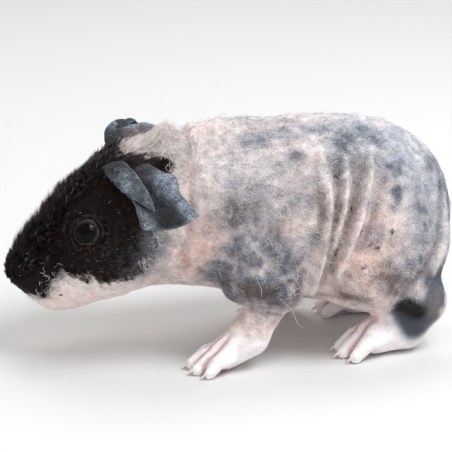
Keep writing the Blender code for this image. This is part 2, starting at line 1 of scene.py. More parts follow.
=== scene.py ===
import math
import bmesh
import bpy
import numpy as np
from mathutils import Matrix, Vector


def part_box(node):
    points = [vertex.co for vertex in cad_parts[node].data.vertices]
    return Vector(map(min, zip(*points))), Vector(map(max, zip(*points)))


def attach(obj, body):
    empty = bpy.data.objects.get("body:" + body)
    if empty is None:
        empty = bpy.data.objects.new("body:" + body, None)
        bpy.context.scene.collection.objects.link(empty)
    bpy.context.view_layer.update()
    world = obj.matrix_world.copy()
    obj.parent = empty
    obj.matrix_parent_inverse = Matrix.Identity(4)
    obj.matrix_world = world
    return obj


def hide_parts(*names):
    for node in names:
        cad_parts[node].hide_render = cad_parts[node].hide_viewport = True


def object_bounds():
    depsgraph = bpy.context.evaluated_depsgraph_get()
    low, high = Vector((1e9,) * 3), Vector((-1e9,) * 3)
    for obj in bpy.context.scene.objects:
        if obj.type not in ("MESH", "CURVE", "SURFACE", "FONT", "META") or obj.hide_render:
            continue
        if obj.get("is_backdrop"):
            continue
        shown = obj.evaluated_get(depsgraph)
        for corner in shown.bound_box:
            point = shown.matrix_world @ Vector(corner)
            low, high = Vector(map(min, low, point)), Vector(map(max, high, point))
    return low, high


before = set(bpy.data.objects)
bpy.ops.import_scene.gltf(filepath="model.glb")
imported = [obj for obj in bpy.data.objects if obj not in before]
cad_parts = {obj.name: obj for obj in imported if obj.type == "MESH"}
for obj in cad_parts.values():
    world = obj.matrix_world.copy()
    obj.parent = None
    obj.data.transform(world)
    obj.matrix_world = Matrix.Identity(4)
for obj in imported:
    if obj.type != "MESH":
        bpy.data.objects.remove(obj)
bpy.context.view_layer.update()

# The form of the flesh. A young hairless guinea pig, facing -X with its left side at -Y, is one
# smooth body of rounded masses melted together, worked out in millimetres as a field that is
# below 0 inside. The values are those of the solids; limbs and toes are finer here.

MM = 0.001
NOSE_TIP = (-58.6, 0.0, 24.0)
HEAD_PITCH = math.radians(32)
HEAD_MASSES = (
    # centre (s back, w aside, t up), radii, fillet
    ((34.0, 0.0, -3.8), (15.0, 14.5, 14.5), 0.0),
    ((24.0, 0.0, -6.2), (13.5, 12.4, 14.0), 5.0),
    ((24.4, 8.2, -0.2), (7.0, 4.8, 6.0), 5.0),
    ((12.5, 0.0, -6.0), (12.5, 9.2, 11.0), 6.0),
    ((3.7, 0.0, -2.0), (4.6, 5.3, 4.5), 3.0),
    ((8.4, 3.7, -6.6), (6.2, 4.6, 4.7), 2.5),
    ((8.0, 0.0, -13.0), (6.0, 4.8, 4.6), 2.5),
    ((27.0, 7.0, -11.5), (12.5, 8.4, 9.5), 7.0),
    ((16.0, 0.0, -12.8), (10.5, 7.4, 7.2), 4.0),
    ((38.5, 8.2, 5.8), (6.6, 4.4, 4.2), 4.0),
)
BODY_MASSES = (
    ((-16.0, 0.0, 38.2), (15.0, 16.5, 19.0), 8.0),
    ((-1.0, 0.0, 38.8), (21.0, 19.5, 22.4), 8.0),
    ((20.0, 0.0, 37.0), (28.0, 23.0, 24.2), 8.0),
    ((37.3, 0.0, 34.4), (22.6, 22.0, 24.9), 8.0),
    ((38.0, 13.0, 27.5), (18.0, 11.0, 14.0), 6.0),
    ((8.0, 12.0, 30.0), (12.0, 8.8, 14.0), 6.0),
)
# Folds of loose skin, as lines (x, z) seen from the side: height out of the skin, half width,
# and whether the fold goes over the back too or only shows on the flank.
FOLDS = (
    (((28.0, 55.0), (26.4, 42.0), (24.4, 32.0), (22.8, 23.0)), -1.2, 5.0, False),
    (((21.4, 58.0), (22.6, 47.0), (21.9, 38.3), (21.2, 30.0), (19.0, 18.5)), 2.0, 1.2, False),
    (((27.8, 53.0), (27.0, 47.5), (26.0, 42.0), (24.6, 37.4), (23.4, 33.0)), 1.9, 1.05, False),
    (((34.4, 54.5), (32.8, 48.0), (31.2, 42.6), (29.5, 38.1), (27.1, 31.9), (24.6, 25.0)), 2.0, 1.0, False),
    (((19.2, 52.0), (20.0, 42.0), (19.4, 36.0)), -1.1, 0.8, False),
    (((24.8, 53.0), (24.4, 42.0), (22.9, 36.9), (22.3, 30.0), (21.2, 22.0)), -1.5, 0.75, False),
    (((31.4, 54.0), (29.3, 46.0), (27.5, 39.9), (25.0, 33.0), (23.2, 25.5)), -1.8, 0.85, False),
    (((37.0, 48.5), (33.6, 40.4), (30.4, 32.0)), -0.8, 1.0, False),
    (((-12.0, 62.0), (-13.2, 44.0), (-14.6, 30.0)), -1.5, 1.5, True),
    (((-16.6, 60.0), (-17.0, 46.0)), 1.2, 2.4, True),
    (((54.0, 44.0), (52.6, 34.0), (48.2, 25.0), (42.0, 18.6)), -1.5, 0.95, False),
    (((56.0, 41.0), (55.0, 32.0), (51.0, 23.5)), 0.8, 1.2, False),
    (((17.0, 18.0), (21.0, 17.0), (27.0, 18.8), (33.0, 18.0)), -1.1, 0.9, False),
    (((11.5, 24.5), (6.0, 20.8), (1.0, 21.0)), -0.85, 0.7, False),
    (((13.5, 21.0), (10.0, 17.8), (4.0, 17.4)), -0.9, 0.65, False),
    (((15.6, 26.0), (14.8, 21.0), (12.6, 17.0)), -1.0, 0.8, False),
    (((2.2, 19.2), (6.0, 18.9), (10.5, 19.4)), -0.6, 0.45, False),
    (((2.6, 16.6), (6.4, 15.9), (10.4, 14.9)), -0.7, 0.5, False),
    (((0.0, 22.4), (4.0, 22.0), (8.5, 22.6)), -0.5, 0.45, False),
)
# Each limb is a chain of rods (from, to, radius, radius, fillet), y measured outwards.
LIMBS = {
    ("fore", -1): (
        ((7.0, 14.0, 29.0), (9.0, 16.8, 22.0), 9.0, 7.4, 6.0),
        ((1.0, 16.8, 22.4), (9.6, 18.4, 21.4), 5.6, 6.6, 3.0),
        ((8.6, 17.8, 18.4), (2.2, 19.4, 9.6), 5.4, 4.7, 0.5),
        ((2.2, 19.6, 8.2), (-4.6, 19.8, 4.1), 4.9, 4.2, 2.5),
    ),
    ("fore", 1): (
        ((9.0, 13.0, 29.0), (13.6, 16.6, 21.4), 9.0, 7.4, 6.0),
        ((14.8, 17.2, 17.8), (19.8, 19.0, 9.6), 6.2, 4.8, 1.5),
        ((20.4, 19.4, 8.0), (16.6, 20.4, 4.1), 4.8, 4.2, 2.5),
    ),
    ("hind", -1): (
        ((31.0, 16.4, 23.0), (49.4, 13.8, 13.4), 8.2, 6.2, 5.0),
        ((49.6, 13.6, 12.8), (45.8, 13.8, 6.2), 6.2, 5.2, 3.0),
        ((45.0, 13.8, 6.2), (36.6, 15.6, 5.0), 5.6, 5.0, 2.5),
    ),
    ("hind", 1): (
        ((31.0, 16.4, 23.0), (49.4, 13.8, 13.4), 8.2, 6.2, 5.0),
        ((49.6, 13.6, 12.8), (47.4, 13.8, 6.2), 6.2, 5.2, 3.0),
        ((46.8, 13.8, 6.2), (38.6, 15.2, 5.0), 5.6, 5.0, 2.5),
    ),
}
# Toes spread from the end of the last rod: across the foot, splay in degrees, length, radius.
TOES = {
    "fore": ((-3.8, -16.0, 6.2, 1.8), (-1.4, -5.0, 8.0, 2.0), (1.3, 6.0, 7.6, 2.0), (3.7, 18.0, 5.6, 1.75)),
    "hind": ((-3.1, -9.0, 8.0, 2.1), (0.0, 0.0, 9.0, 2.25), (3.1, 9.0, 7.8, 2.1)),
}
HEADINGS = {("fore", -1): 6.0, ("fore", 1): 6.0, ("hind", -1): 14.0, ("hind", 1): 8.0}
# Grooves on the head, in its own axes: (s, t) lines that wrap across, and lines on each side.
MOUTH = ((1.2, -9.4), (3.8, -8.7), (6.8, -7.5), (10.3, -6.6), (12.4, -7.2))
LIP_CLEFT = ((-3.0, -3.4), (0.2, -6.4), (2.6, -9.2))
NOSTRIL = ((-0.9, 1.3, -2.6), (-1.1, 2.5, -1.4), (-0.1, 3.6, -0.2))


def ellipsoid(points, centre, radii):
    """Distance out of an ellipsoid, near it: k (k - 1) over the slope of k, k the scaled radius."""
    offset = points - np.array(centre)
    near = np.linalg.norm(offset / np.array(radii), axis=-1)
    slope = np.linalg.norm(offset / np.array(radii) ** 2, axis=-1)
    return near * (near - 1.0) / np.maximum(slope, 1e-9)


def to_segment(points, start, end):
    """Distance from a straight piece of line, and the share of the way along it."""
    start, way = np.array(start, float), np.subtract(end, start)
    share = np.clip(((points - start) @ way) / (way @ way), 0.0, 1.0)
    gap = points - start - share[..., None] * way
    return np.sqrt((gap**2).sum(-1)), share


def rod(points, start, end, first, last):
    """Distance out of a tapered rod: distance to its line less the radius at that share."""
    near, share = to_segment(points, start, end)
    return near - (first + (last - first) * share)


def melt(first, second, width):
    """The nearer of two forms, with a fillet about as wide as width where they meet."""
    share = np.clip(0.5 + 0.5 * (second - first) / width, 0.0, 1.0)
    return second * (1 - share) + first * share - width * share * (1 - share)


def line_distance(points, line):
    """Distance from a bent line, in as many coordinates as both have."""
    return np.min([to_segment(points, *ends)[0] for ends in zip(line[:-1], line[1:])], axis=0)


def waves(points, length, seed, count=20):
    """Smooth noise of unit spread: the sum of seeded plane waves about length long."""
    draw = np.random.default_rng(seed)
    ways = draw.normal(size=(count, 3))
    ways = ways / np.linalg.norm(ways, axis=1, keepdims=True)
    ways = ways * (2 * math.pi / length) / draw.uniform(0.6, 1.5, (count, 1))
    phases = draw.uniform(0, 2 * math.pi, count)
    total = np.zeros(points.shape[:-1])
    for way, phase in zip(ways, phases):
        total += np.sin(points @ way + phase)
    return total * math.sqrt(2 / count)


def to_head(points):
    """Places in the head's own axes: s back from the nose tip, w to the side, t up."""
    offset = points - np.array(NOSE_TIP)
    cos, sin = math.cos(HEAD_PITCH), math.sin(HEAD_PITCH)
    s = offset[..., 0] * cos + offset[..., 2] * sin
    t = -offset[..., 0] * sin + offset[..., 2] * cos
    return np.stack([s, offset[..., 1], t], axis=-1)


def from_head(place, is_way=False):
    """A place, or a direction, in the head's axes as x, y, z."""
    s, w, t = place
    cos, sin = math.cos(HEAD_PITCH), math.sin(HEAD_PITCH)
    turned = np.array([s * cos - t * sin, w, s * sin + t * cos])
    return turned if is_way else turned + np.array(NOSE_TIP)


def trunk_field(points):
    """Head, neck and trunk with no folds, as the solids have them."""
    sided = points * [1, 0, 1] + np.abs(points) * [0, 1, 0]
    in_head = to_head(sided)
    field = ellipsoid(in_head, *HEAD_MASSES[0][:2])
    for centre, radii, fillet in HEAD_MASSES[1:]:
        field = melt(field, ellipsoid(in_head, centre, radii), fillet)
    for centre, radii, fillet in BODY_MASSES:
        field = melt(field, ellipsoid(sided, centre, radii), fillet)
    return field


def toe_lines(kind, side):
    """Root, knuckle and tip of each toe of a foot, with its radius, y measured outwards."""
    front = np.array(LIMBS[kind, side][-1][1], float)
    base = math.radians(HEADINGS[kind, side])
    beside = np.array([math.sin(base), math.cos(base), 0.0])
    lines = []
    for across, splay, length, thick in TOES[kind]:
        angle = base + math.radians(splay)
        way = np.array([-math.cos(angle), math.sin(angle), 0.0])
        root = front + beside * across
        knuckle = root + way * length * 0.55
        tip = root + way * length
        root[2], knuckle[2], tip[2] = front[2] + 0.1, front[2] * 0.8 + 0.2, thick * 0.72
        lines.append((root, knuckle, tip, way, thick))
    return lines


def limb_fields(points, field):
    """Adds the legs, feet and toes to the trunk's field."""
    for (kind, side), rods in LIMBS.items():
        near = points[:, 1] * side > 0
        own = points[near] * [1, side, 1]
        total = field[near]
        for start, end, first, last, fillet in rods:
            total = melt(total, rod(own, start, end, first, last), fillet)
        for root, knuckle, tip, _, thick in toe_lines(kind, side):
            toe = np.minimum(rod(own, root, knuckle, thick * 1.15, thick),
                             rod(own, knuckle, tip, thick, thick * 0.78))
            total = melt(total, toe, 1.2)
        field[near] = total
    return field


def grooves(points, field):
    """Cuts the mouth line, the cleft under the nose and the nostrils into the head, each as
    deep as a bell curve across its line."""
    near = points[:, 0] < -42
    s, w, t = to_head(points[near]).T
    cut = 0.9 * np.exp(-(line_distance(np.stack([s, t], -1), MOUTH) / 0.42) ** 2)
    cleft = line_distance(np.stack([s, t], -1), LIP_CLEFT)
    cut += 0.7 * np.exp(-(w / 0.38) ** 2 - (cleft / 2.2) ** 2)
    sided = np.stack([s, np.abs(w), t], -1)
    cut += 1.5 * np.exp(-(line_distance(sided, NOSTRIL) / 0.62) ** 2)
    field[near] += cut
    return field


def flank(points):
    """1 on the flanks, 0 along the back and belly."""
    return np.clip(np.abs(points[:, 1]) / 14.0 - 0.45, 0.0, 1.0)


def skin_field(points):
    """The whole skin: masses and limbs, folds, the mouth line and nostrils, cut by the floor."""
    field = limb_fields(points, trunk_field(points))
    on_flank = flank(points) * (0.85 + 0.25 * waves(points, 11.0, 72))
    for line, height, half, goes_over in FOLDS:
        near = line_distance(points[:, ::2], line) / half
        field -= height * (1.0 if goes_over else on_flank) * np.exp(-near**2)
    field = grooves(points, field)
    field -= 0.10 * waves(points, 6.0, 71) * np.clip(points[:, 2] / 12 - 0.8, 0, 1)
    return np.maximum(field, -points[:, 2])


def slope_of(field, points, step=0.15):
    """The field's slope at each point, by differences."""
    ways = np.eye(3) * step
    return np.stack([field(points + w) - field(points - w) for w in ways], -1) / (2 * step)


def settle(field, points, rounds=3):
    """Moves points on to the level 0 of a field, along its slope."""
    for _ in range(rounds):
        slope = slope_of(field, points)
        size = np.maximum((slope**2).sum(-1), 0.05)
        points = points - slope * np.clip(field(points) / size, -1.5, 1.5)[:, None]
    return points


def net_round(field, low, high, step, coarse=5):
    """A closed mesh of quads round a field's inside: one point in each grid cell that the
    surface crosses, the mean of its crossings of the cell's edges, and one face across each
    grid edge whose ends lie on either side. Far cells, found on a coarse grid, are skipped."""
    low = np.array(low, float)
    blocks = np.ceil((np.array(high) - low) / (step * coarse)).astype(int)
    middles = np.stack(np.meshgrid(*[np.arange(n) + 0.5 for n in blocks], indexing="ij"), -1)
    rough = field(low + middles.reshape(-1, 3) * step * coarse).reshape(blocks)
    wanted = np.abs(rough) < step * coarse * 1.4
    for axis in range(3):
        wanted = np.repeat(wanted, coarse, axis)
    wanted = np.pad(wanted, ((0, 1),) * 3)
    for axis in range(3):
        wanted = wanted | np.roll(wanted, 1, axis)
    places = np.argwhere(wanted)
    values = np.full(wanted.shape, np.nan)
    values[tuple(places.T)] = field(low + places * step)
    inside, known = values < 0, ~np.isnan(values)
    corners = np.array([(a, b, c) for a in (0, 1) for b in (0, 1) for c in (0, 1)])
    shape = np.array(values.shape) - 1
    count, all_known = np.zeros(shape, int), np.ones(shape, bool)
    for corner in corners:
        window = tuple(slice(a, a + size) for a, size in zip(corner, shape))
        count += inside[window]
        all_known &= known[window]
    cells = np.argwhere(all_known & (count > 0) & (count < 8))
    number = np.full(shape, -1)
    number[tuple(cells.T)] = np.arange(len(cells))
    at = [values[tuple((cells + corner).T)] for corner in corners]
    total, crossings = np.zeros((len(cells), 3)), np.zeros(len(cells))
    for i, first in enumerate(corners):
        for j, second in enumerate(corners):
            if j > i and np.abs(second - first).sum() == 1:
                crossed = (at[i] < 0) != (at[j] < 0)
                share = np.where(crossed, at[i] / np.where(crossed, at[i] - at[j], 1.0), 0.0)
                total += crossed[:, None] * (first + share[:, None] * (second - first))
                crossings += crossed
    points = low + (cells + total / crossings[:, None]) * step
    faces = []
    for axis in range(3):
        aside = np.delete(np.eye(3, dtype=int), axis, 0)
        start = np.argwhere(known)
        start = start[start[:, axis] < values.shape[axis] - 1]
        end = start + np.eye(3, dtype=int)[axis]
        changes = known[tuple(end.T)] & (inside[tuple(start.T)] != inside[tuple(end.T)])
        start = start[changes]
        ring = [number[tuple(np.clip(start + back @ aside, 0, shape - 1).T)]
                for back in ((-1, -1), (0, -1), (0, 0), (-1, 0))]
        ring = np.stack(ring, -1)
        flip = inside[tuple(start.T)] == (axis == 1)
        ring[flip] = ring[flip][:, ::-1]
        faces.append(ring[(ring >= 0).all(1)])
    return points, np.concatenate(faces)


# The eyes' places. Each ball looks out square to the skin beside the head's own axes, so the
# lids and the skin round it are worked out from the same frame.

EYE_START = (23.7, 2.0, 0.9)
EYE_RADIUS = 3.7
EYE_DEPTH = 2.3
EYE_CLEAR = 4.2


def reach(field, starts, ways, furthest=45.0, steps=90):
    """How far each ray goes before the field passes 0: a coarse march, then halving."""
    ladder = np.linspace(0.2, furthest, steps)
    inside = np.zeros(starts.shape[:-1])
    found = np.zeros(starts.shape[:-1], bool)
    for step in ladder:
        out = field(starts + ways * step) > 0
        inside = np.where(found | out, inside, step)
        found |= out
    low, high = inside, inside + (ladder[1] - ladder[0])
    for _ in range(14):
        middle = (low + high) / 2
        out = field(starts + ways * middle[..., None]) > 0
        low, high = np.where(out, low, middle), np.where(out, middle, high)
    return (low + high) / 2


def unit(vectors):
    return vectors / np.maximum(np.linalg.norm(vectors, axis=-1, keepdims=True), 1e-9)


def eye_frame(side):
    """Centre of the eye, and unit directions out of it, back along the lids, and up."""
    start = np.array(from_head(EYE_START)) * [1, side, 1]
    way = np.array([0.0, side, 0.0])
    skin = start + way * reach(trunk_field, start[None], way[None])[0]
    out = unit(slope_of(trunk_field, skin[None]))[0]
    back = np.array(from_head((1, 0, 0), True))
    back = unit(back - out * (back @ out))
    return skin - out * EYE_DEPTH, out, back, np.cross(out, back) * -side


EYES = {side: eye_frame(side) for side in (-1, 1)}

# Working millimetres become the frame's metres: the left eye's box says where the solids lie.
eye_low, eye_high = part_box("eye_left")
OFFSET = EYES[-1][0] * MM - np.array((eye_low + eye_high) / 2)
OFFSET[2] = 0.0


def place(points):
    """Working millimetres as metres in the frame."""
    return np.asarray(points) * MM - OFFSET


def mesh_of(name, points, faces, smooth=True):
    """An object from points in working millimetres and faces all with as many corners."""
    points, faces = np.asarray(points).reshape(-1, 3), np.asarray(faces)
    count, corners = faces.shape
    mesh = bpy.data.meshes.new(name)
    mesh.vertices.add(len(points))
    mesh.vertices.foreach_set("co", place(points).astype(np.float32).ravel())
    mesh.loops.add(count * corners)
    mesh.loops.foreach_set("vertex_index", faces.astype(np.int32).ravel())
    mesh.polygons.add(count)
    mesh.polygons.foreach_set("loop_start", np.arange(count, dtype=np.int32) * corners)
    mesh.polygons.foreach_set("use_smooth", np.full(count, smooth))
    mesh.update(calc_edges=True)
    mesh.validate()
    thing = bpy.data.objects.new(name, mesh)
    bpy.context.scene.collection.objects.link(thing)
    return thing


def points_of(thing):
    """A mesh's points, in working millimetres."""
    flat = np.zeros(len(thing.data.vertices) * 3, np.float32)
    thing.data.vertices.foreach_get("co", flat)
    return (flat.reshape(-1, 3).astype(float) + OFFSET) / MM


def put_colour(thing, name, colours):
    """Stores one colour for each point of a mesh."""
    layer = thing.data.attributes.new(name, "FLOAT_COLOR", "POINT")
    flat = np.ones((len(colours), 4), np.float32)
    flat[:, :3] = colours
    layer.data.foreach_set("color", flat.ravel())


def put_value(thing, name, values):
    """Stores one number for each point of a mesh."""
    layer = thing.data.attributes.new(name, "FLOAT", "POINT")
    layer.data.foreach_set("value", np.asarray(values, np.float32))


# The skin: one closed mesh over head, neck, trunk, legs and feet, so that no seam shows. The
# head, feet and near elbow are divided once more, then every point settles on the field again.

SKIN_STEP = 0.72
FINE_HEAD_END = 27.0
FINE_FOOT_TOP = 9.0
FINE_FOOT_ASIDE = 11.0
ELBOW_MIDDLE = np.array((5.0, -22.0, 21.5))
ELBOW_HALF = np.array((10.0, 6.0, 8.0))
low, high = (-62.0, -31.0, -1.1), (62.0, 31.0, 65.0)
points, faces = net_round(skin_field, low, high, SKIN_STEP)
points = settle(skin_field, points, 2)
skin = mesh_of("skin", points, faces)
shape = bmesh.new()
shape.from_mesh(skin.data)
in_head = to_head(points)
fine = in_head[:, 0] < FINE_HEAD_END
fine |= (points[:, 2] < FINE_FOOT_TOP) & (np.abs(points[:, 1]) > FINE_FOOT_ASIDE)
fine |= (np.abs(points - ELBOW_MIDDLE) < ELBOW_HALF).all(1)
shape.verts.ensure_lookup_table()
edges = [edge for edge in shape.edges if fine[edge.verts[0].index] and fine[edge.verts[1].index]]
bmesh.ops.subdivide_edges(shape, edges=edges, cuts=1, use_grid_fill=True)
bmesh.ops.triangulate(shape, faces=[face for face in shape.faces if len(face.verts) > 4])
for face in shape.faces:
    face.smooth = True
shape.to_mesh(skin.data)
shape.free()
points = settle(skin_field, points_of(skin), 3)
skin.data.vertices.foreach_set("co", place(points).astype(np.float32).ravel())
skin.data.update()
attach(skin, "root")
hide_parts(*[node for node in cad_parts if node.split("_")[0] not in ("eye", "ear", "claw")])

# The markings: pinkish white skin with soft slate blotches, pink lower flanks, black hocks,
# and the dark mask of the face over a pale lower jaw. Every mark is a blob or a line of blobs
# by its place on the left side; most are on the right side too, set a little otherwise. Over
# them go painted light and shade: a pale bluish painted sheen on top of the back and rump,
# painted shade along the fold valleys and creases, and painted light along the fold ridges.

PALE = np.array((0.72, 0.60, 0.565))
PINK = np.array((0.82, 0.55, 0.46))
# Pale pink-white: the jaw's own colour, and the painted light on the fold ridges.
JAW_PALE_AND_RIDGE_LIGHT = np.array((0.86, 0.75, 0.71))
CREASE_RED = np.array((0.38, 0.13, 0.09))
# A pale blue-grey painted sheen, laid on top of the back and rump where the light falls.
PAINTED_SKY_SHEEN = np.array((0.55, 0.62, 0.71))
SLATE = np.array((0.20, 0.215, 0.255))
DEEP_SLATE = np.array((0.055, 0.060, 0.075))
UMBER = np.array((0.13, 0.085, 0.068))
MASK = np.array((0.0086, 0.0042, 0.0030))
HOCK = np.array((0.016, 0.013, 0.013))
FOOT = np.array((0.99, 0.93, 0.93))
SLATE_MARKS = (
    # line of (x, y, z), radius, strength
    (((14.2, -15.9, 54.9),), 3.0, 0.9),
    (((4.0, -10.0, 58.4), (14.8, -7.8, 59.5), (24.5, -7.1, 60.0)), 4.0, 0.7),
    (((28.1, -8.8, 59.2), (27.4, -14.2, 55.9), (25.8, -17.8, 51.6)), 4.6, 1.0),
    (((32.2, -7.1, 59.6), (36.8, -12.0, 57.0)), 4.6, 0.85),
    (((36.8, -15.9, 53.2), (44.7, -16.4, 48.9), (50.1, -17.0, 42.1), (51.9, -19.0, 34.5)), 8.0, 0.62),
    (((41.9, -16.7, 50.3),), 2.2, 0.8),
    (((40.4, -19.9, 45.8), (40.1, -21.4, 42.6)), 2.2, 1.1),
    (((49.4, -20.2, 36.3), (46.1, -23.1, 30.4), (42.2, -23.7, 24.3)), 5.6, 0.72),
    (((1.7, -19.5, 45.5), (-1.5, -20.5, 39.8)), 7.5, 0.62),
    (((-6.0, -17.0, 45.0), (-9.0, -15.0, 40.0)), 4.0, 0.3),
    (((17.8, -23.4, 34.9),), 3.2, 0.8),
    (((3.0, -22.5, 35.0), (9.0, -24.1, 30.3)), 7.0, 0.85),
    (((-5.0, -17.6, 28.0), (3.0, -23.5, 26.0), (12.0, -24.0, 26.0)), 4.5, 0.8),
    (((-5.0, -15.6, 23.5), (1.5, -22.5, 22.4), (7.0, -25.0, 22.0)), 5.0, 1.35),
    (((9.0, -25.0, 19.0), (13.0, -23.0, 20.0)), 4.0, 0.75),
    (((20.0, -12.0, 52.0), (26.0, -20.0, 47.0)), 3.5, 0.35),
    (((-24.5, -16.8, 36.0), (-25.5, -16.5, 30.5)), 4.8, 1.3),
    (((-19.6, -17.2, 36.0), (-20.5, -16.6, 31.0)), 2.6, 0.7),
    (((54.0, -8.0, 47.0), (57.5, -6.0, 34.0), (56.0, -9.0, 22.0)), 8.5, 0.88),
    (((47.5, -19.5, 43.0), (49.0, -21.5, 33.0), (45.5, -23.0, 26.0)), 5.0, 0.85),
    (((-1.0, -21.6, 33.0), (4.0, -23.2, 29.5), (8.0, -24.0, 27.0), (12.0, -24.0, 31.0)), 5.5, 0.95),
    (((0.0, -21.0, 39.0), (7.0, -22.0, 41.5), (13.0, -21.0, 45.0)), 5.0, 0.6),
    (((-6.0, -8.0, 58.0), (0.0, -13.0, 55.0)), 4.0, 0.3),
    (((43.5, -20.5, 15.0), (46.4, -19.7, 8.7)), 3.8, 1.6),
    (((50.5, -20.5, 22.0), (55.0, -14.0, 24.0)), 3.8, 1.1),
)
# Painted sheen: a painted highlight along the top of the rump, the back and the shoulders.
PAINTED_SHEEN_MARKS = (
    (((36.0, -6.0, 60.0), (46.0, -10.0, 52.0), (54.0, -10.0, 40.0), (55.0, -10.0, 26.0)), 12.0, 1.0),
    (((22.0, -8.0, 60.0), (34.0, -14.0, 55.0)), 7.0, 0.6),
    (((-4.0, -14.0, 52.0), (6.0, -16.0, 52.0)), 6.0, 0.4),
)
# Dark brown patches, and painted shade in the creases.
UMBER_AND_CREASE_SHADE_MARKS = (
    (((8.3, -22.8, 37.4),), 2.8, 0.6),
    (((1.6, -20.0, 43.5), (-3.0, -19.0, 41.0)), 4.0, 0.4),
    (((36.3, -24.9, 25.1), (39.6, -24.2, 21.0)), 4.0, 0.95),
    # From here on: narrow lines along the fold valleys, the thigh's crease over the belly and the elbow's
    # crease, all painted shade.
    (((31.4, -17.7, 52.4), (29.3, -22.0, 45.5), (27.6, -23.0, 40.3)), 1.2, 1.0),
    (((19.6, -21.5, 46.8), (20.4, -23.0, 40.2)), 1.2, 0.8),
    (((24.5, -21.7, 44.0), (22.7, -22.7, 36.5), (22.0, -23.7, 28.4)), 1.2, 0.8),
    (((26.6, -23.6, 36.5), (25.0, -23.6, 33.0)), 1.2, 0.8),
    (((22.0, -23.0, 20.5), (30.0, -22.0, 18.6), (36.0, -21.0, 17.6)), 1.9, 0.85),
    (((14.0, -23.0, 20.0), (14.5, -23.0, 25.0)), 1.6, 0.7),
    (((-2.5, -19.0, 22.5), (4.0, -24.0, 21.5)), 3.2, 0.75),
)
PINK_MARKS = (
    (((24.4, -20.4, 48.9), (26.0, -22.0, 41.0)), 2.0, 0.9),
    (((20.6, -21.4, 47.0), (21.0, -22.8, 37.0)), 1.6, 0.6),
    (((38.0, -17.7, 50.5), (37.4, -20.2, 46.4)), 2.6, 0.7),
    (((24.0, -23.1, 30.5), (24.5, -23.3, 24.3)), 1.6, 0.9),
    (((32.6, -23.3, 38.8), (31.6, -24.9, 32.0), (29.6, -24.9, 26.0)), 6.5, 1.0),
    (((-8.0, -18.0, 38.0), (-10.0, -16.8, 29.0)), 5.4, 0.85),
    (((-36.0, -10.0, 18.0), (-44.0, -7.0, 17.0)), 4.5, 0.7),
    (((13.0, -23.0, 42.0), (13.0, -23.0, 32.0)), 3.4, 0.55),
    (((-2.0, -20.0, 30.0), (4.0, -20.0, 13.0), (0.0, -20.0, 9.0)), 3.2, 0.5),
)
RED_MARKS = (
    (((-13.6, -15.4, 27.4), (-14.0, -16.6, 31.0)), 1.3, 0.6),
    (((30.0, -15.0, 12.0), (36.0, -16.0, 9.5)), 1.6, 0.4),
)
DARK_DOTS = (
    (30.1, -23.7, 36.5), (32.5, -24.3, 33.0), (30.8, -24.4, 31.5), (30.9, -25.0, 27.6),
    (38.3, -23.7, 36.3), (27.1, -24.5, 25.3), (34.6, -24.5, 32.2), (-45.4, -8.0, 18.7),
)
HOCK_LINE = ((42.4, -21.8, 14.8), (46.4, -20.6, 12.8))
HEEL_LINE = ((43.8, -20.6, 12.4), (46.6, -19.8, 8.8), (50.0, -19.5, 11.0), (51.5, -19.0, 16.5),
             (53.5, -16.0, 20.5))
# The dark mask's lower edge and its back edge, in the head's axes: (s, t) pairs.
MASK_LOWER = ((-5.0, 2.0, 6.0, 9.3, 13.0, 17.3, 21.2, 28.7, 33.0, 36.0, 40.0),
              (-9.0, -9.0, -9.3, -6.4, -7.0, -10.0, -13.7, -16.0, -15.0, -11.0, -3.0))
MASK_BACK = ((-16.0, -15.0, -11.0, -5.0, 0.0, 3.0, 5.0, 8.0, 11.0, 14.0),
             (27.5, 28.5, 32.5, 38.0, 45.0, 51.5, 51.5, 47.4, 45.0, 44.0))


def smooth(low, high, values):
    """0 below low, 1 above high and a smooth S between."""
    share = np.clip((values - low) / (high - low), 0.0, 1.0)
    return share * share * (3 - 2 * share)


def mixed(first, second, share):
    """Colours between first and second, by each point's share."""
    return first + (second - first) * np.asarray(share, float)[:, None]


def marks(points, listed):
    """How strongly a list of marks covers each point: the largest of strength x bell curve.
    The right side's marks are the left's, set 1.5 mm forward and 1 mm higher."""
    own = np.where(points[:, 1:2] < 0, points, points * [1, -1, 1] + [1.5, 0, -1.0])
    cover = np.zeros(len(points))
    for line, radius, strength in listed:
        line = line if len(line) > 1 else (line[0], tuple(np.array(line[0]) + 0.01))
        near = line_distance(own, line) / radius
        cover = np.maximum(cover, strength * np.exp(-near**2 * 0.9))
    return cover


def dark_mask(points, soft=1.6):
    """Share of the dark face fur, from the mask's lower and back edges, made uneven."""
    in_head = to_head(points)
    s, t = in_head[:, 0], in_head[:, 2]
    uneven = 0.55 * waves(points, 5.0, 11) + 0.35 * waves(points, 1.8, 12)
    above = t - np.interp(s, *MASK_LOWER) + uneven
    before = np.interp(t, *MASK_BACK) - s + uneven * 1.3
    before = before - 3.8 * smooth(7.0, 3.0, np.abs(in_head[:, 1])) * smooth(6.0, 8.0, t)
    before = before / (1 + 1.8 * smooth(-1.0, -8.0, t))
    return smooth(-soft, soft, np.minimum(above, before))


def toe_gaps(kind, side):
    """Lines between the toes, seen from above, from well back on the foot to the toes' ends."""
    lines = toe_lines(kind, side)
    back = 7.5 if kind == "hind" else 2.5
    gaps = []
    for (root, _, tip, way, _), (next_root, _, next_tip, next_way, _) in zip(lines[:-1], lines[1:]):
        start, end = (root + next_root) / 2, (tip + next_tip) / 2
        gaps.append(((start - (way + next_way) / 2 * back)[:2], start[:2], end[:2]))
    return gaps


def fold_shade_and_light(points):
    """How deep in a fold, and how high on one, each point is, from the lines of the folds: masks of the
    painted shade in the fold valleys and of the painted light on the fold ridges.
    """
    valley, ridge = np.zeros((2, len(points)))
    for line, height, half, _ in FOLDS:
        near = np.exp(-(line_distance(points[:, ::2], line) / half) ** 2) * flank(points)
        if height > 0:
            ridge = np.maximum(ridge, near)
        elif half < 1.4:
            valley = np.maximum(valley, near * min(1.0, -height))
    return valley, ridge


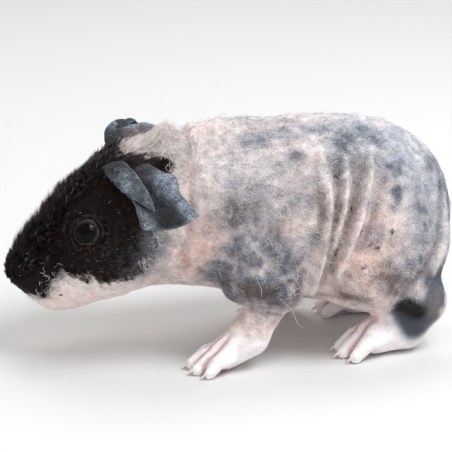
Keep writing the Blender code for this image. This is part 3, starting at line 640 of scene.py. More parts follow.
def markings(points):
    """Masks of every marking, and of the painted sheen, fold shade and fold light, at points on the skin: a
    dict of shares from 0 to 1.
    """
    z = points[:, 2]
    uneven = 0.5 * waves(points, 7.0, 21) + 0.3 * waves(points, 3.2, 22) + 0.3 * waves(points, 1.7, 23)
    found = {"mask": dark_mask(points), "jaw": smooth(34, 24, to_head(points)[:, 0])}
    broad = smooth(-1.0, 2.0, waves(points, 20.0, 24) + 0.5 * waves(points, 8.0, 25)) * 0.40
    broad = (broad + 0.12) * smooth(-13, -3, points[:, 0]) * smooth(10, 18, z)
    slate = np.maximum(marks(points, SLATE_MARKS) * 1.1, broad)
    found["slate"] = np.clip(slate * (1 + 0.32 * uneven), 0, 1.2)
    # The sheen marks give a painted highlight; among the dark brown marks, the narrow crease lines give
    # painted shade.
    for name, listed, share, more in (("bloom", PAINTED_SHEEN_MARKS, 0.3, 0.0), ("umber", UMBER_AND_CREASE_SHADE_MARKS, 0.4, 0.0),
                                      ("pink", PINK_MARKS, 0.3, 0.14), ("red", RED_MARKS, 0.5, 0.0)):
        found[name] = np.clip(marks(points, listed) * (1 + share * uneven) + more * uneven, 0, 1)
    hock, heel, gap, dots = np.zeros((4, len(points)))
    for side in (-1, 1):
        own = points * [1, -side, 1]
        hock = np.maximum(hock, smooth(1.45, 0.55, line_distance(own, HOCK_LINE) / 2.5 + 0.16 * uneven))
        heel = np.maximum(heel, smooth(1.3, 0.7, line_distance(own, HEEL_LINE) / 3.7 + 0.12 * uneven))
        for line in toe_gaps("fore", side) + toe_gaps("hind", side):
            near = line_distance(points[:, :2] * [1, side], line)
            gap = np.maximum(gap, np.exp(-(near / 0.6) ** 2) * smooth(12.0, 8.0, z))
    for dot in DARK_DOTS:
        dots = np.maximum(dots, smooth(0.7, 0.35, np.linalg.norm(points - dot, axis=1)))
    foot = smooth(12.5, 8.0, z + 0.8 * uneven) * (np.abs(points[:, 1]) > 8) * (1 - hock)
    # Masks of the painted shade in the fold valleys and the painted light on the fold ridges.
    valley, ridge = fold_shade_and_light(points)
    return {**found, "hock": hock, "heel": heel, "gap": gap, "dots": dots, "foot": foot,
            "valley": valley, "ridge": ridge}


# The markings, the painted sheen and the painted shade and light of the folds, from the lowest to
# the highest: name, colour and how much of it shows.
LAYERS = (
    ("pink", PINK, 0.85), ("jaw", JAW_PALE_AND_RIDGE_LIGHT, 0.7), ("bloom", PAINTED_SKY_SHEEN, 0.62), ("foot", FOOT, 0.9),
    ("slate", SLATE, 0.88), ("deep slate", DEEP_SLATE, 0.8), ("umber", UMBER, 0.85),
    # Painted shade in the fold valleys and painted light on the fold ridges.
    ("valley", UMBER, 0.5), ("ridge", JAW_PALE_AND_RIDGE_LIGHT, 0.55), ("red", CREASE_RED, 0.8),
    ("gap", CREASE_RED, 0.75), ("heel", DEEP_SLATE, 0.85), ("hock", HOCK, 1.0),
    ("dots", UMBER * 0.35, 1.0), ("mask", MASK, 1.0),
)


found = markings(points)
shares = {**found, "slate": np.clip(found["slate"] * 1.15, 0, 1),
          "deep slate": smooth(0.7, 1.35, found["slate"])}
colour = np.broadcast_to(PALE, points.shape)
for name, over, share in LAYERS:
    colour = mixed(colour, over, shares[name] * share)
put_colour(skin, "tone", colour)
put_value(skin, "grit", 1 - 0.65 * np.maximum(found["foot"], 0.8 * found["jaw"]))


def set_sockets(tree, made, sockets):
    """Gives each named socket of a node a value, or a link from another node's output."""
    for name, given in sockets.items():
        if isinstance(given, bpy.types.NodeSocket):
            tree.links.new(given, made.inputs[name])
        else:
            made.inputs[name].default_value = given


def node(tree, kind, sockets, **values):
    """The outputs of a new shader node with its properties and sockets set."""
    made = tree.nodes.new(kind)
    for name, value in values.items():
        setattr(made, name, value)
    set_sockets(tree, made, sockets)
    return made.outputs


def grain_group():
    """Skin grain: soft cells crossed by fine lines, as a height and a mottle from 0 to 1."""
    tree = bpy.data.node_groups.new("skin_grain", "ShaderNodeTree")
    for name, start in (("Scale", 1.0), ("Fine", 0.5)):
        socket = tree.interface.new_socket(name, in_out="INPUT", socket_type="NodeSocketFloat")
        socket.default_value = start
    for name in ("Height", "Mottle"):
        tree.interface.new_socket(name, in_out="OUTPUT", socket_type="NodeSocketFloat")
    given = node(tree, "NodeGroupInput", {})
    where = node(tree, "ShaderNodeTexCoord", {})["Object"]

    def texture(kind, factor, sockets, **values):
        scale = node(tree, "ShaderNodeMath", {0: given["Scale"], 1: factor}, operation="MULTIPLY")[0]
        return node(tree, kind, {"Scale": scale, "Vector": where, **sockets}, **values)[0]
    cells = texture("ShaderNodeTexVoronoi", 1500.0, {}, feature="DISTANCE_TO_EDGE")
    fine = texture("ShaderNodeTexNoise", 2600.0, {"Detail": 5.0})
    broad = texture("ShaderNodeTexNoise", 420.0, {"Detail": 4.0})
    lines = node(tree, "ShaderNodeMapRange", {"Value": cells, "From Max": 0.25})["Result"]
    height = node(tree, "ShaderNodeMix", {"Factor": given["Fine"], "A": lines, "B": fine}, data_type="FLOAT")
    half = node(tree, "ShaderNodeMath", {0: fine, 1: 0.5}, operation="MULTIPLY")[0]
    both = node(tree, "ShaderNodeMath", {0: broad, 1: 0.5, 2: half}, operation="MULTIPLY_ADD")[0]
    node(tree, "NodeGroupOutput", {"Height": height["Result"], "Mottle": both})
    return tree


GRAIN = grain_group()


def living_material(name, scale, fine, bump, mottle, roughness, subsurface=0.0, gloss=0.3,
                    gritty=False):
    """A material that takes the piece's own colour and adds grain. Mottle is how much the
    grain lightens and darkens it, times the piece's own grit where it is gritty; bump is the
    grain's depth in millimetres."""
    material = bpy.data.materials.new(name)
    material.use_nodes = True
    tree = material.node_tree
    colour = node(tree, "ShaderNodeAttribute", {}, attribute_name="tone")["Color"]
    grain = node(tree, "ShaderNodeGroup", {"Scale": scale, "Fine": fine}, node_tree=GRAIN)
    spread = node(tree, "ShaderNodeMapRange", {"Value": grain["Mottle"], "From Min": 0.3, "From Max": 0.7,
                                               "To Min": -mottle, "To Max": mottle})["Result"]
    grit = node(tree, "ShaderNodeAttribute", {}, attribute_name="grit")["Fac"] if gritty else 1.0
    share = node(tree, "ShaderNodeMath", {0: spread, 1: grit, 2: 1.0}, operation="MULTIPLY_ADD")[0]
    tinted = node(tree, "ShaderNodeVectorMath", {0: colour, "Scale": share}, operation="SCALE")["Vector"]
    normal = node(tree, "ShaderNodeBump", {"Strength": 1.0, "Distance": bump * MM,
                                           "Height": grain["Height"]})["Normal"]
    set_sockets(tree, tree.nodes["Principled BSDF"], {
        "Base Color": tinted, "Normal": normal, "Roughness": roughness, "Subsurface Weight": subsurface,
        "Subsurface Radius": (1.0, 0.35, 0.22), "Subsurface Scale": 0.0016, "Specular IOR Level": gloss})
    return material


skin.data.materials.append(living_material("bare_skin", 1.0, 0.6, 0.14, 0.5, 0.6, 0.2, 0.1, True))

# The eyes: a near-black ball with a brown iris under a clear wet front, which takes the
# light as one soft spot. Each is a sphere drawn round its own line of sight.

EYE_SIDES = 64
EYE_RINGS = 48
PUPIL_SHARE = 0.30
IRIS_SHARE = 0.74
PUPIL_TONE = np.array((0.0012, 0.0012, 0.0016))
IRIS_TONE = np.array((0.0025, 0.0015, 0.0013))
EYE_RIM_TONE = np.array((0.002, 0.0015, 0.0014))


def round_quads(index):
    """Quads between neighbouring rows of point numbers, each row closed round."""
    after = np.roll(index, -1, 1)
    return np.stack([index[:-1], after[:-1], after[1:], index[1:]], -1)


def tube_faces(rows, columns, first, last):
    """Triangles of a closed tube: rows of points, and the point that closes each end."""
    index = np.arange(rows * columns).reshape(rows, columns)
    strips = round_quads(index).reshape(-1, 4)
    fans = [np.stack([np.full(columns, end), *pair], -1) for end, pair in (
        (first, (np.roll(index[0], -1), index[0])), (last, (index[-1], np.roll(index[-1], -1))))]
    return np.concatenate([strips[:, [0, 1, 2]], strips[:, [0, 2, 3]], *fans])


def ball_of(side, radius):
    """A sphere as rings round the line of sight, and each point's share of the way round."""
    centre, out, back, up = EYES[side]
    leans = np.linspace(0, math.pi, EYE_RINGS)[1:-1, None, None]
    turns = (np.arange(EYE_SIDES) / EYE_SIDES * 2 * math.pi)[None, :, None]
    ring = np.cos(leans) * out + np.sin(leans) * (np.cos(turns) * back + np.sin(turns) * up)
    cornea = 1 + 0.045 * np.exp(-((leans / 0.62) ** 2))
    points = np.concatenate([(centre + radius * cornea * ring).reshape(-1, 3),
                             [centre + out * radius * 1.045, centre - out * radius]])
    tris = tube_faces(EYE_RINGS - 2, EYE_SIDES, len(points) - 2, len(points) - 1)
    sight = ((points - centre) @ out) / np.linalg.norm(points - centre, axis=1)
    return points, tris[:, ::side], np.arccos(np.clip(sight, -1, 1)) / math.pi


def eye_colour(away, points):
    """Pupil, iris with fine spokes, and the dark rim outside it, by the angle away from sight."""
    ripple = 0.5 + 0.5 * np.clip(waves(points, 0.6, 31), -1, 1)
    share = away / 0.25
    iris = IRIS_TONE * (0.5 + ripple[:, None])
    inside = mixed(PUPIL_TONE, iris, smooth(PUPIL_SHARE, PUPIL_SHARE + 0.08, share))
    return mixed(inside, EYE_RIM_TONE, smooth(IRIS_SHARE, IRIS_SHARE + 0.12, share))


eye_wet = living_material("eye_wet", 0.6, 1.0, 0.0, 0.1, 0.05)
set_sockets(eye_wet.node_tree, eye_wet.node_tree.nodes["Principled BSDF"],
            {"Specular IOR Level": 0.0, "Coat Weight": 0.2, "Coat Roughness": 0.02})
for side, name in ((-1, "eye_left"), (1, "eye_right")):
    points, faces, away = ball_of(side, EYE_RADIUS)
    eye = mesh_of("wet_" + name, points, faces)
    put_colour(eye, "tone", eye_colour(away, points))
    eye.data.materials.append(eye_wet)
    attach(eye, "root")
    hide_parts(name)

# The lids: a bare rim round the opening, drawn out at its front corner, that rests on the
# ball and runs out into the skin under a few round wrinkles. It is a ring of cross-sections,
# each from the ball outwards, whose height fades from the rim's own to the skin's.

LID_HALF_WIDTH = 2.48
LID_HALF_HEIGHT = 2.14
LID_SPAN = 3.1
LID_TONE = np.array((0.046, 0.034, 0.031))
LID_RIM_TONE = np.array((0.004, 0.003, 0.003))


def lids(side, turns=120, steps=30):
    """Grid of the lids, turns round the opening by steps outwards from the ball."""
    centre, out, back, up = EYES[side]
    turn = (np.arange(turns) / turns * 2 * math.pi)[:, None]
    corner = np.exp(-((np.angle(np.exp(1j * (turn - math.radians(208)))) / 0.30) ** 2))
    edge = LID_HALF_WIDTH * LID_HALF_HEIGHT / np.sqrt(
        (LID_HALF_HEIGHT * np.cos(turn)) ** 2 + (LID_HALF_WIDTH * np.sin(turn)) ** 2)
    edge = edge * (1 + 0.30 * corner)
    step = np.linspace(0, 1, steps)[None] ** 1.3
    far = edge + LID_SPAN * step
    way = np.cos(turn)[..., None] * back + np.sin(turn)[..., None] * up
    flat = centre + far[..., None] * way
    skin_height = reach(trunk_field, flat, np.broadcast_to(out, flat.shape), 12.0, 40)
    on_ball = np.sqrt(np.maximum((EYE_RADIUS + 0.1) ** 2 - np.minimum(far, EYE_RADIUS) ** 2, 0.0))
    rim = 0.45 * np.sqrt(np.clip(step / 0.10, 0, 1)) - 0.25
    lifted = on_ball + rim
    away = smooth(0.12, 0.62, step)
    lower_back = 0.5 + 0.5 * np.cos(turn - math.radians(-35))
    uneven = 0.9 * waves(flat, 5.0, 34) + 0.5 * waves(flat, 2.2, 35)
    wrinkle = 0.14 * np.sin(step * 2 * math.pi * 2.6 + uneven) * (
        smooth(0.12, 0.3, step) * smooth(1.0, 0.75, step)) * (0.35 + 0.65 * lower_back)
    height = lifted * (1 - away) + (skin_height + 0.04) * away + wrinkle
    height = height - smooth(0.75, 1.0, step) * 0.45
    points = flat + height[..., None] * out
    index = np.arange(turns * steps).reshape(turns, steps)
    ahead = np.roll(index, -1, 0)
    quads = np.stack([index[:, :-1], ahead[:, :-1], ahead[:, 1:], index[:, 1:]], -1).reshape(-1, 4)
    if side < 0:
        quads = quads[:, ::-1]
    share = np.broadcast_to(step, (turns, steps)).reshape(-1)
    corner = np.broadcast_to(corner, (turns, steps)).reshape(-1)
    below = np.broadcast_to(0.35 + 0.65 * lower_back, (turns, steps)).reshape(-1)
    below = below * (1 + 0.5 * waves(points.reshape(-1, 3), 1.2, 36))
    return points.reshape(-1, 3), quads, share, corner, below


lid_skin = living_material("lid_skin", 1.3, 0.5, 0.12, 0.5, 0.6, 0.0, 0.15)
for side, name in ((-1, "left"), (1, "right")):
    points, faces, share, corner, below = lids(side)
    lid = mesh_of("lids_" + name, points, faces)
    rim = smooth(0.16, 0.04, share)[:, None]
    ring = (smooth(0.05, 0.3, share) * smooth(0.95, 0.25, share) * below)[:, None]
    tone = MASK * (1 - ring) + LID_TONE * ring
    tone = tone * (1 - rim) + LID_RIM_TONE * rim
    spot = (corner**3 * smooth(0.26, 0.12, share) * smooth(0.0, 0.08, share))[:, None]
    tone = tone * (1 - spot) + np.array((0.20, 0.21, 0.23)) * spot
    put_colour(lid, "tone", tone)
    lid.data.materials.append(lid_skin)
    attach(lid, "root")

# The ears: thin bare leathery sheets. Each runs from its rear edge to a crease near the front,
# where it turns over, and a pointed leaf lies back over the sheet. Below the leaf the crease
# becomes the plain front edge. Each line's points run from the root to the tip.

EARS = {
    "left": {
        "side": -1,
        "crease": ((-33.7, 8.8, 52.6), (-32.5, 13.0, 51.2), (-31.1, 15.0, 49.9),
                   (-30.0, 16.3, 49.2), (-29.2, 17.5, 48.8), (-28.3, 18.8, 48.2),
                   (-26.9, 20.8, 46.0), (-26.2, 22.8, 43.1), (-25.3, 24.0, 40.5)),
        "rear": ((-26.3, 7.8, 53.3), (-24.5, 10.0, 53.5), (-22.6, 13.0, 54.0),
                 (-20.5, 15.5, 53.6), (-18.7, 17.8, 53.3), (-16.6, 20.0, 52.2),
                 (-16.0, 22.0, 48.9), (-14.4, 23.0, 46.9), (-11.5, 24.5, 43.6)),
        "free": ((-29.3, 9.8, 54.4), (-28.8, 11.2, 54.5), (-28.1, 12.6, 54.3),
                 (-27.3, 14.6, 53.8), (-26.3, 16.6, 52.8), (-25.2, 18.6, 51.3),
                 (-24.1, 20.6, 49.7), (-23.2, 22.3, 47.5), (-22.7, 23.4, 44.8),
                 (-25.1, 21.4, 47.1), (-27.8, 19.4, 47.9), (-27.6, 20.2, 46.9),
                 (-27.2, 21.2, 45.6), (-27.1, 22.2, 44.3), (-26.7, 23.1, 42.9),
                 (-26.2, 23.8, 41.4), (-25.3, 24.4, 40.2)),
    },
    "right": {
        "side": 1,
        "crease": ((-30.5, 7.0, 52.3), (-31.1, 9.0, 54.8), (-30.9, 11.0, 56.9),
                   (-29.1, 13.0, 58.3), (-26.8, 15.0, 58.3), (-24.2, 18.5, 56.2),
                   (-22.6, 21.5, 52.7), (-21.5, 23.5, 49.0), (-20.6, 25.0, 45.4)),
        "rear": ((-24.1, 7.0, 52.0), (-21.8, 8.5, 53.6), (-19.5, 10.0, 55.3),
                 (-17.0, 12.0, 56.4), (-15.1, 14.5, 56.4), (-13.8, 18.0, 53.7),
                 (-13.2, 21.0, 50.1), (-13.1, 23.5, 46.3), (-13.3, 26.0, 42.2)),
        "free": ((-27.1, 8.9, 53.3), (-26.6, 9.8, 54.4), (-26.3, 10.7, 55.4),
                 (-25.7, 11.7, 56.3), (-25.1, 12.7, 57.2), (-24.2, 13.8, 57.6),
                 (-23.3, 14.9, 57.9), (-22.0, 16.2, 57.4), (-20.8, 17.6, 56.7),
                 (-22.5, 18.7, 56.4), (-23.6, 19.0, 55.9), (-23.9, 20.0, 54.5),
                 (-23.0, 21.5, 52.8), (-22.5, 22.5, 51.0), (-22.0, 23.5, 49.1),
                 (-21.5, 24.2, 47.4), (-21.0, 24.9, 45.6)),
    },
}
EAR_ROLL = 1.1
EAR_LEAF_LIFT = 1.0
EAR_HEM = 1.7
EAR_THICKNESS = 0.62
EAR_RIM_THICKNESS = 0.22
EAR_SLATE = np.array((0.028, 0.032, 0.042))
# Pale blue-grey, for the ear's lighter patches and its painted highlights.
EAR_PALE_AND_HIGHLIGHT = np.array((0.33, 0.375, 0.44))
EAR_BROWN = np.array((0.017, 0.012, 0.012))
EAR_BLUSH = np.array((0.27, 0.19, 0.185))


def through(knots, shares):
    """A smooth line through every knot, which are at even shares from 0 to 1."""
    knots = np.array(knots, float)
    padded = np.concatenate([[2 * knots[0] - knots[1]], knots, [2 * knots[-1] - knots[-2]]])
    at = np.clip(np.asarray(shares) * (len(knots) - 1), 0, len(knots) - 1 - 1e-9)
    first = at.astype(int)
    t = (at - first).reshape((-1,) + (1,) * (knots.ndim - 1))
    a, b, c, d = (padded[first + k] for k in range(4))
    return 0.5 * (2 * b + (c - a) * t + (2 * a - 5 * b + 4 * c - d) * t**2
                  + (3 * b - a - 3 * c + d) * t**3)


def ear_sheet(ear, rows=150, columns=100):
    """The middle of the ear's sheet, rows from root to tip, its normals, and the shares down
    and across. A row runs from the rear edge to the crease, bowed out and then in by a sine,
    and on to the free edge as a cubic curve (1-t)^3 P0 + 3 (1-t)^2 t P1 + 3 (1-t) t^2 P2 + t^3 P3
    whose P1 lies on past the crease and whose P2 stands off the sheet. The hem between the lower
    corners hangs lower by a sine."""
    side = ear["side"]
    shares = np.linspace(0, 1, rows)
    rear, crease, free = (through([np.array(p) * [1, side, 1] for p in ear[line]], shares)
                          for line in ("rear", "crease", "free"))
    forward = unit(crease - rear)
    outward = unit(np.cross(np.gradient((crease + rear) / 2, axis=0), forward) * side)
    leaf = np.linalg.norm(free - crease, axis=1, keepdims=True)
    first = crease + forward * np.minimum(EAR_ROLL, leaf * 0.4)
    second = (crease + free) / 2 + (outward + forward * 0.3) * EAR_LEAF_LIFT * smooth(0.5, 3.0, leaf)
    t = np.linspace(0, 1, columns // 2)[None, :, None]
    bow = 0.9 * shares[:, None, None] * np.sin(2 * math.pi * t)
    flat = rear[:, None] + (crease - rear)[:, None] * t + bow * outward[:, None]
    turned = ((1 - t) ** 3 * crease[:, None] + 3 * (1 - t) ** 2 * t * first[:, None]
              + 3 * (1 - t) * t**2 * second[:, None] + t**3 * free[:, None])
    sheet = np.concatenate([flat[:, :-1], turned], axis=1)
    hem = np.sin(math.pi * np.linspace(0, 1, flat.shape[1])) ** 0.8
    hem = EAR_HEM * smooth(0.72, 1.0, shares)[:, None] * hem
    sheet[:, :flat.shape[1]] += hem[..., None] * unit(np.gradient((crease + rear) / 2, axis=0))[:, None]
    columns = sheet.shape[1]
    normal = unit(np.cross(np.gradient(sheet, axis=0), np.gradient(sheet, axis=1)))
    at = sheet.reshape(-1, 3)
    dent = 0.15 * waves(at, 5.0, 41) + 0.06 * waves(at, 1.7, 42) + 0.03 * waves(at, 0.8, 43)
    sheet = sheet + normal * dent.reshape(rows, columns, 1)
    down, across = np.broadcast_arrays(shares[:, None], np.linspace(0, 1, columns)[None])
    return sheet, normal, down, across


def ear_mesh(ear):
    """Both faces of the sheet, thinner towards its free edges, joined round the rim."""
    sheet, normal, down, across = ear_sheet(ear)
    rows, columns = down.shape
    run = np.linalg.norm(np.diff(sheet, axis=1), axis=2)
    run = np.hstack([np.zeros((rows, 1)), np.cumsum(run, axis=1)])
    edge_gap = np.minimum(np.minimum(run, run[:, -1:] - run), (1 - down) * 16.0)
    half = EAR_RIM_THICKNESS + (EAR_THICKNESS - EAR_RIM_THICKNESS) * np.sqrt(np.clip(edge_gap / 0.8, 0, 1))
    half = half / 2
    points = np.concatenate([(sheet + normal * half[..., None]).reshape(-1, 3),
                             (sheet - normal * half[..., None]).reshape(-1, 3)])
    index = np.arange(rows * columns).reshape(rows, columns)
    under = rows * columns
    upper = np.stack([index[:-1, :-1], index[1:, :-1], index[1:, 1:], index[:-1, 1:]], -1).reshape(-1, 4)
    edge = np.concatenate([index[0, :-1], index[:-1, -1], index[-1, :0:-1], index[:0:-1, 0]])
    after = np.roll(edge, -1)
    sides = np.stack([edge, after, after + under, edge + under], -1)
    faces = np.concatenate([upper, upper[:, ::-1] + under, sides])
    return points, faces, [np.concatenate([part.reshape(-1)] * 2) for part in (down, across, edge_gap)]


def face_out(thing):
    """Turns a closed mesh's faces outwards if its volume comes out below 0."""
    turned = bmesh.new()
    turned.from_mesh(thing.data)
    if turned.calc_volume(signed=True) < 0:
        thing.data.flip_normals()
    turned.free()


# Light and dark places on each ear: down from the root, across from the rear edge, their half
# sizes both ways, and how far towards light (above 0) or brown (below 0). The light places are
# painted highlights where the ear catches the light; the dark ones are painted shade in the folds,
# behind the leaf and in the hollow under it, and towards the root the ear's own brown.
EAR_HIGHLIGHT_SHADE_AND_BROWN_SPOTS = {
    "left": (
        (0.60, 0.09, 0.17, 0.11, 1.10),
        (0.95, 0.05, 0.13, 0.08, 0.90),
        (0.92, 0.46, 0.12, 0.07, 0.80),
        (0.36, 0.78, 0.26, 0.20, 0.44),
        (0.28, 0.20, 0.20, 0.14, -1.0),
        (0.52, 0.28, 0.18, 0.09, -0.9),
        (0.92, 0.26, 0.24, 0.13, -1.0),
        (0.68, 0.42, 0.12, 0.10, -1.0),
        (0.66, 0.62, 0.06, 0.20, -1.0),
        (0.05, 0.40, 0.08, 0.70, -1.0),
    ),
    "right": (
        (0.40, 0.36, 0.12, 0.16, 0.80),
        (0.46, 0.10, 0.10, 0.14, 0.75),
        (0.12, 0.22, 0.08, 0.20, 0.40),
        (0.85, 0.25, 0.16, 0.20, 0.50),
        (0.22, 0.36, 0.06, 0.14, -1.0),
        (0.62, 0.25, 0.12, 0.20, -0.8),
        (0.03, 0.40, 0.05, 0.60, -1.0),
    ),
}
EAR_BLUSHES = {"left": (), "right": ((0.25, 0.12, 0.13, 0.15, 0.8),)}


def ear_spots(spots, down, across):
    """Each spot's strength times a bell curve round its place, for every point of the ear."""
    found = []
    for at_down, at_across, half_down, half_across, strength in spots:
        gap = ((down - at_down) / half_down) ** 2 + ((across - at_across) / half_across) ** 2
        found.append(strength * np.exp(-gap))
    return np.array(found) if found else np.zeros((1, len(down)))


def ear_colour(name, points, down, across, edge_gap):
    """Slate, lighter in soft random patches and in spots of painted highlight, darker in spots of painted
    shade, brown at the root, with a pink blush where one is listed and a painted highlight along the rim.
    """
    found = ear_spots(EAR_HIGHLIGHT_SHADE_AND_BROWN_SPOTS[name], down, across)
    shade = np.maximum(-found.min(0), 0.0)
    bloom = 0.12 * smooth(-0.6, 2.0, waves(points, 7.0, 51) + 0.5 * waves(points, 2.2, 52))
    # Spots above 0 add painted highlight; spots below 0 give painted shade, or near the root the ear's own
    # brown.
    bloom = bloom + np.maximum(found, 0.0).sum(0)
    streaks = 1 + 0.18 * waves(points, 1.4, 54) + 0.45 * waves(points, 0.55, 55)
    bloom = np.clip(np.clip(bloom, 0, 1) * (1 - shade) * streaks, 0, 1)[:, None]
    colour = EAR_SLATE + (EAR_PALE_AND_HIGHLIGHT - EAR_SLATE) * bloom
    colour = colour + (EAR_BROWN - colour) * shade[:, None] * 0.85
    blush = np.clip(ear_spots(EAR_BLUSHES[name], down, across).sum(0) * streaks, 0, 1)
    colour = colour + (EAR_BLUSH - colour) * blush[:, None]
    brown = smooth(0.30, 0.08, down + 0.06 * waves(points, 3.0, 53))[:, None]
    colour = colour + (EAR_BROWN - colour) * brown * 0.8
    # A painted highlight along the thin rim.
    rim = smooth(0.45, 0.1, edge_gap)[:, None]
    return colour + (EAR_PALE_AND_HIGHLIGHT - colour) * rim * 0.25


ear_skin = living_material("ear_skin", 1.3, 0.5, 0.35, 0.8, 0.38, 0.0, 0.35)
for name, ear in EARS.items():
    points, faces, shares = ear_mesh(ear)
    made = mesh_of("skin_ear_" + name, points, faces)
    face_out(made)
    put_colour(made, "tone", ear_colour(name, points, *shares))
    made.data.materials.append(ear_skin)
    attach(made, "root")
    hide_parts("ear_" + name)

# The claws: pale horn, one on each toe, curved cones that start inside the toe's end.

CLAW_LENGTH = 0.8
CLAW_RADIUS = 0.50
CLAW_RINGS = 14
CLAW_SIDES = 12
HORN_ROOT = np.array((0.84, 0.62, 0.56))
HORN_TIP = np.array((0.80, 0.70, 0.64))
horn = living_material("horn", 1.2, 0.8, 0.02, 0.15, 0.35)
for kind, side in LIMBS:
    for number, (_, _, tip, way, thick) in enumerate(toe_lines(kind, side), 1):
        share = np.linspace(0, 1, CLAW_RINGS)[:, None]
        start = tip + [0, 0, thick * 0.2]
        end = tip + way * (thick + CLAW_LENGTH)
        end[2] = 0.45
        middle = (start + end) / 2 + [0, 0, 0.9]
        line = (1 - share) ** 2 * start + 2 * share * (1 - share) * middle + share**2 * end
        slope = unit(np.gradient(line, axis=0))
        beside = unit(np.cross([0.0, 0.0, 1.0], slope))
        above = np.cross(slope, beside)
        turn = np.arange(CLAW_SIDES) / CLAW_SIDES * 2 * math.pi
        radius = CLAW_RADIUS * np.sqrt(1 - share**1.6 * 0.985)
        ring = (line[:, None] + radius[..., None] * (np.cos(turn)[:, None] * above[:, None] * 1.1
                                                     + np.sin(turn)[:, None] * beside[:, None] * 0.8))
        ring = ring * [1, side, 1]
        ends = np.array([ring[0].mean(0), ring[-1].mean(0)])
        count = CLAW_RINGS * CLAW_SIDES
        side_name = "left" if side < 0 else "right"
        claw = mesh_of(f"horn_{kind}_{side_name}_{number}", np.concatenate([ring.reshape(-1, 3), ends]),
                       tube_faces(CLAW_RINGS, CLAW_SIDES, count, count + 1))
        face_out(claw)
        along = np.concatenate([np.repeat(share[:, 0], CLAW_SIDES), [0, 1]])
        put_colour(claw, "tone", mixed(HORN_ROOT, HORN_TIP, along))
        claw.data.materials.append(horn)
        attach(claw, "root")
        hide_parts(f"claw_{kind}_{side_name}_{number}")

# The coat: short dark fur on the face, white fur along the jaw and behind the ears, a fine
# curly fuzz over the bare body, and a few white whiskers. Each hair or tuft is a thin closed
# blade of three sides that tapers to a point, rooted in the skin.

SPINE = ((-51.0, 0.0, 21.5), (-24.0, 0.0, 43.0), (6.0, 0.0, 38.0), (39.0, 0.0, 31.0))
PATCH = 0.003
PIECE_LIMIT = 190000


def unwrap(points):
    """Places on an unwrap of the skin's own shape: share along the spine by the turn round it
    for the trunk, and height by turn round the limb, in a tile of its own, for each leg."""
    share = np.linspace(0, 1, 120)[:, None]
    a, b, c, d = (np.array(p) for p in SPINE)
    rest = 1 - share
    line = rest**3 * a + 3 * rest**2 * share * b + 3 * rest * share**2 * c + share**3 * d
    slope = unit(np.gradient(line, axis=0))
    found = np.concatenate([((part[:, None] - line) ** 2).sum(-1).argmin(1)
                            for part in np.array_split(points, max(1, len(points) // 20000))])
    offset = points - line[found]
    along = (offset * slope[found]).sum(1)
    above = np.cross(slope[found], [0.0, 1.0, 0.0])
    turn = np.arctan2(offset[:, 1], (offset * above).sum(1)) / (2 * math.pi) + 0.5
    u = (found / 119 * 110 + along + 12) / 136
    v = 0.32 + 0.66 * turn
    leg = (points[:, 2] < 11) & (np.abs(points[:, 1]) > 8)
    hind, right = points[:, 0] > 24, points[:, 1] > 0
    tile = hind * 2 + right
    middles = np.array([(0.0, -19.0), (17.0, 19.0), (40.0, -15.0), (42.0, 15.0)])[tile]
    aside = points[:, :2] - middles
    round_leg = np.arctan2(aside[:, 1], aside[:, 0]) / (2 * math.pi) + 0.5
    u = np.where(leg, 0.25 * tile + 0.01 + 0.22 * round_leg, u)
    reach_out = np.linalg.norm(aside, axis=1) / 20 + points[:, 2] / 12
    v = np.where(leg, 0.01 + 0.27 * np.clip(reach_out / 2, 0, 1), v)
    return np.clip(np.stack([u, v], -1), 0.004, 0.992)


def skin_sampler(thing):
    """The skin's triangles as arrays: corners, corner normals and areas."""
    data = thing.data
    data.calc_loop_triangles()
    corners = np.zeros(len(data.loop_triangles) * 3, np.int32)
    data.loop_triangles.foreach_get("vertices", corners)
    corners = corners.reshape(-1, 3)
    normals = np.zeros(len(data.vertices) * 3, np.float32)
    data.vertices.foreach_get("normal", normals)
    spots = points_of(thing)[corners]
    area = np.linalg.norm(np.cross(spots[:, 1] - spots[:, 0], spots[:, 2] - spots[:, 0]), axis=1) / 2
    return spots, normals.reshape(-1, 3)[corners].astype(float), area


SPOTS, SPOT_NORMALS, SPOT_AREAS = skin_sampler(skin)
SPOT_MIDDLES = SPOTS.mean(1)


def clear_of_eyes(points, clear=EYE_CLEAR):
    """1 away from the eyes, 0 within clear of either one's line of sight."""
    kept = np.ones(len(points))
    for centre, out, _, _ in EYES.values():
        offset = points - centre
        along = offset @ out
        aside = np.linalg.norm(offset - along[:, None] * out, axis=1)
        kept *= np.where((along > -1) & (np.linalg.norm(offset, axis=1) < 12),
                         smooth(clear - 0.5, clear + 0.7, aside), 1.0)
    return kept


def roots(density, count, draw):
    """Roots on the skin, spread by area times a density from 0 to 1, and their normals."""
    weight = SPOT_AREAS * density
    chosen = draw.choice(len(weight), count, p=weight / weight.sum())
    share = draw.random((count, 2))
    over = share.sum(1) > 1
    share[over] = 1 - share[over]
    mix = np.concatenate([1 - share.sum(1, keepdims=True), share], 1)[..., None]
    return (SPOTS[chosen] * mix).sum(1), unit((SPOT_NORMALS[chosen] * mix).sum(1))


def lie_of(points, normals):
    """Which way the coat lies: back from the nose, outwards and down over the cheeks and
    flanks, and down the legs, laid flat on the skin."""
    in_head = to_head(points)
    on_head = smooth(46, 36, in_head[:, 0])[:, None]
    back = np.array(from_head((1, 0, 0), True))
    low = smooth(-2, -12, in_head[:, 2])
    down = np.stack([0 * low, np.sign(points[:, 1]) * 0.25, -0.15 - 0.9 * low], -1)
    head_way = back + down
    body_way = np.array([1.0, 0.0, -0.45]) + np.stack(
        [0 * points[:, 0], 0.1 * points[:, 1] / 20, 0 * points[:, 0]], -1)
    way = head_way * on_head + body_way * (1 - on_head)
    way = way - normals * (way * normals).sum(1, keepdims=True)
    return unit(way)


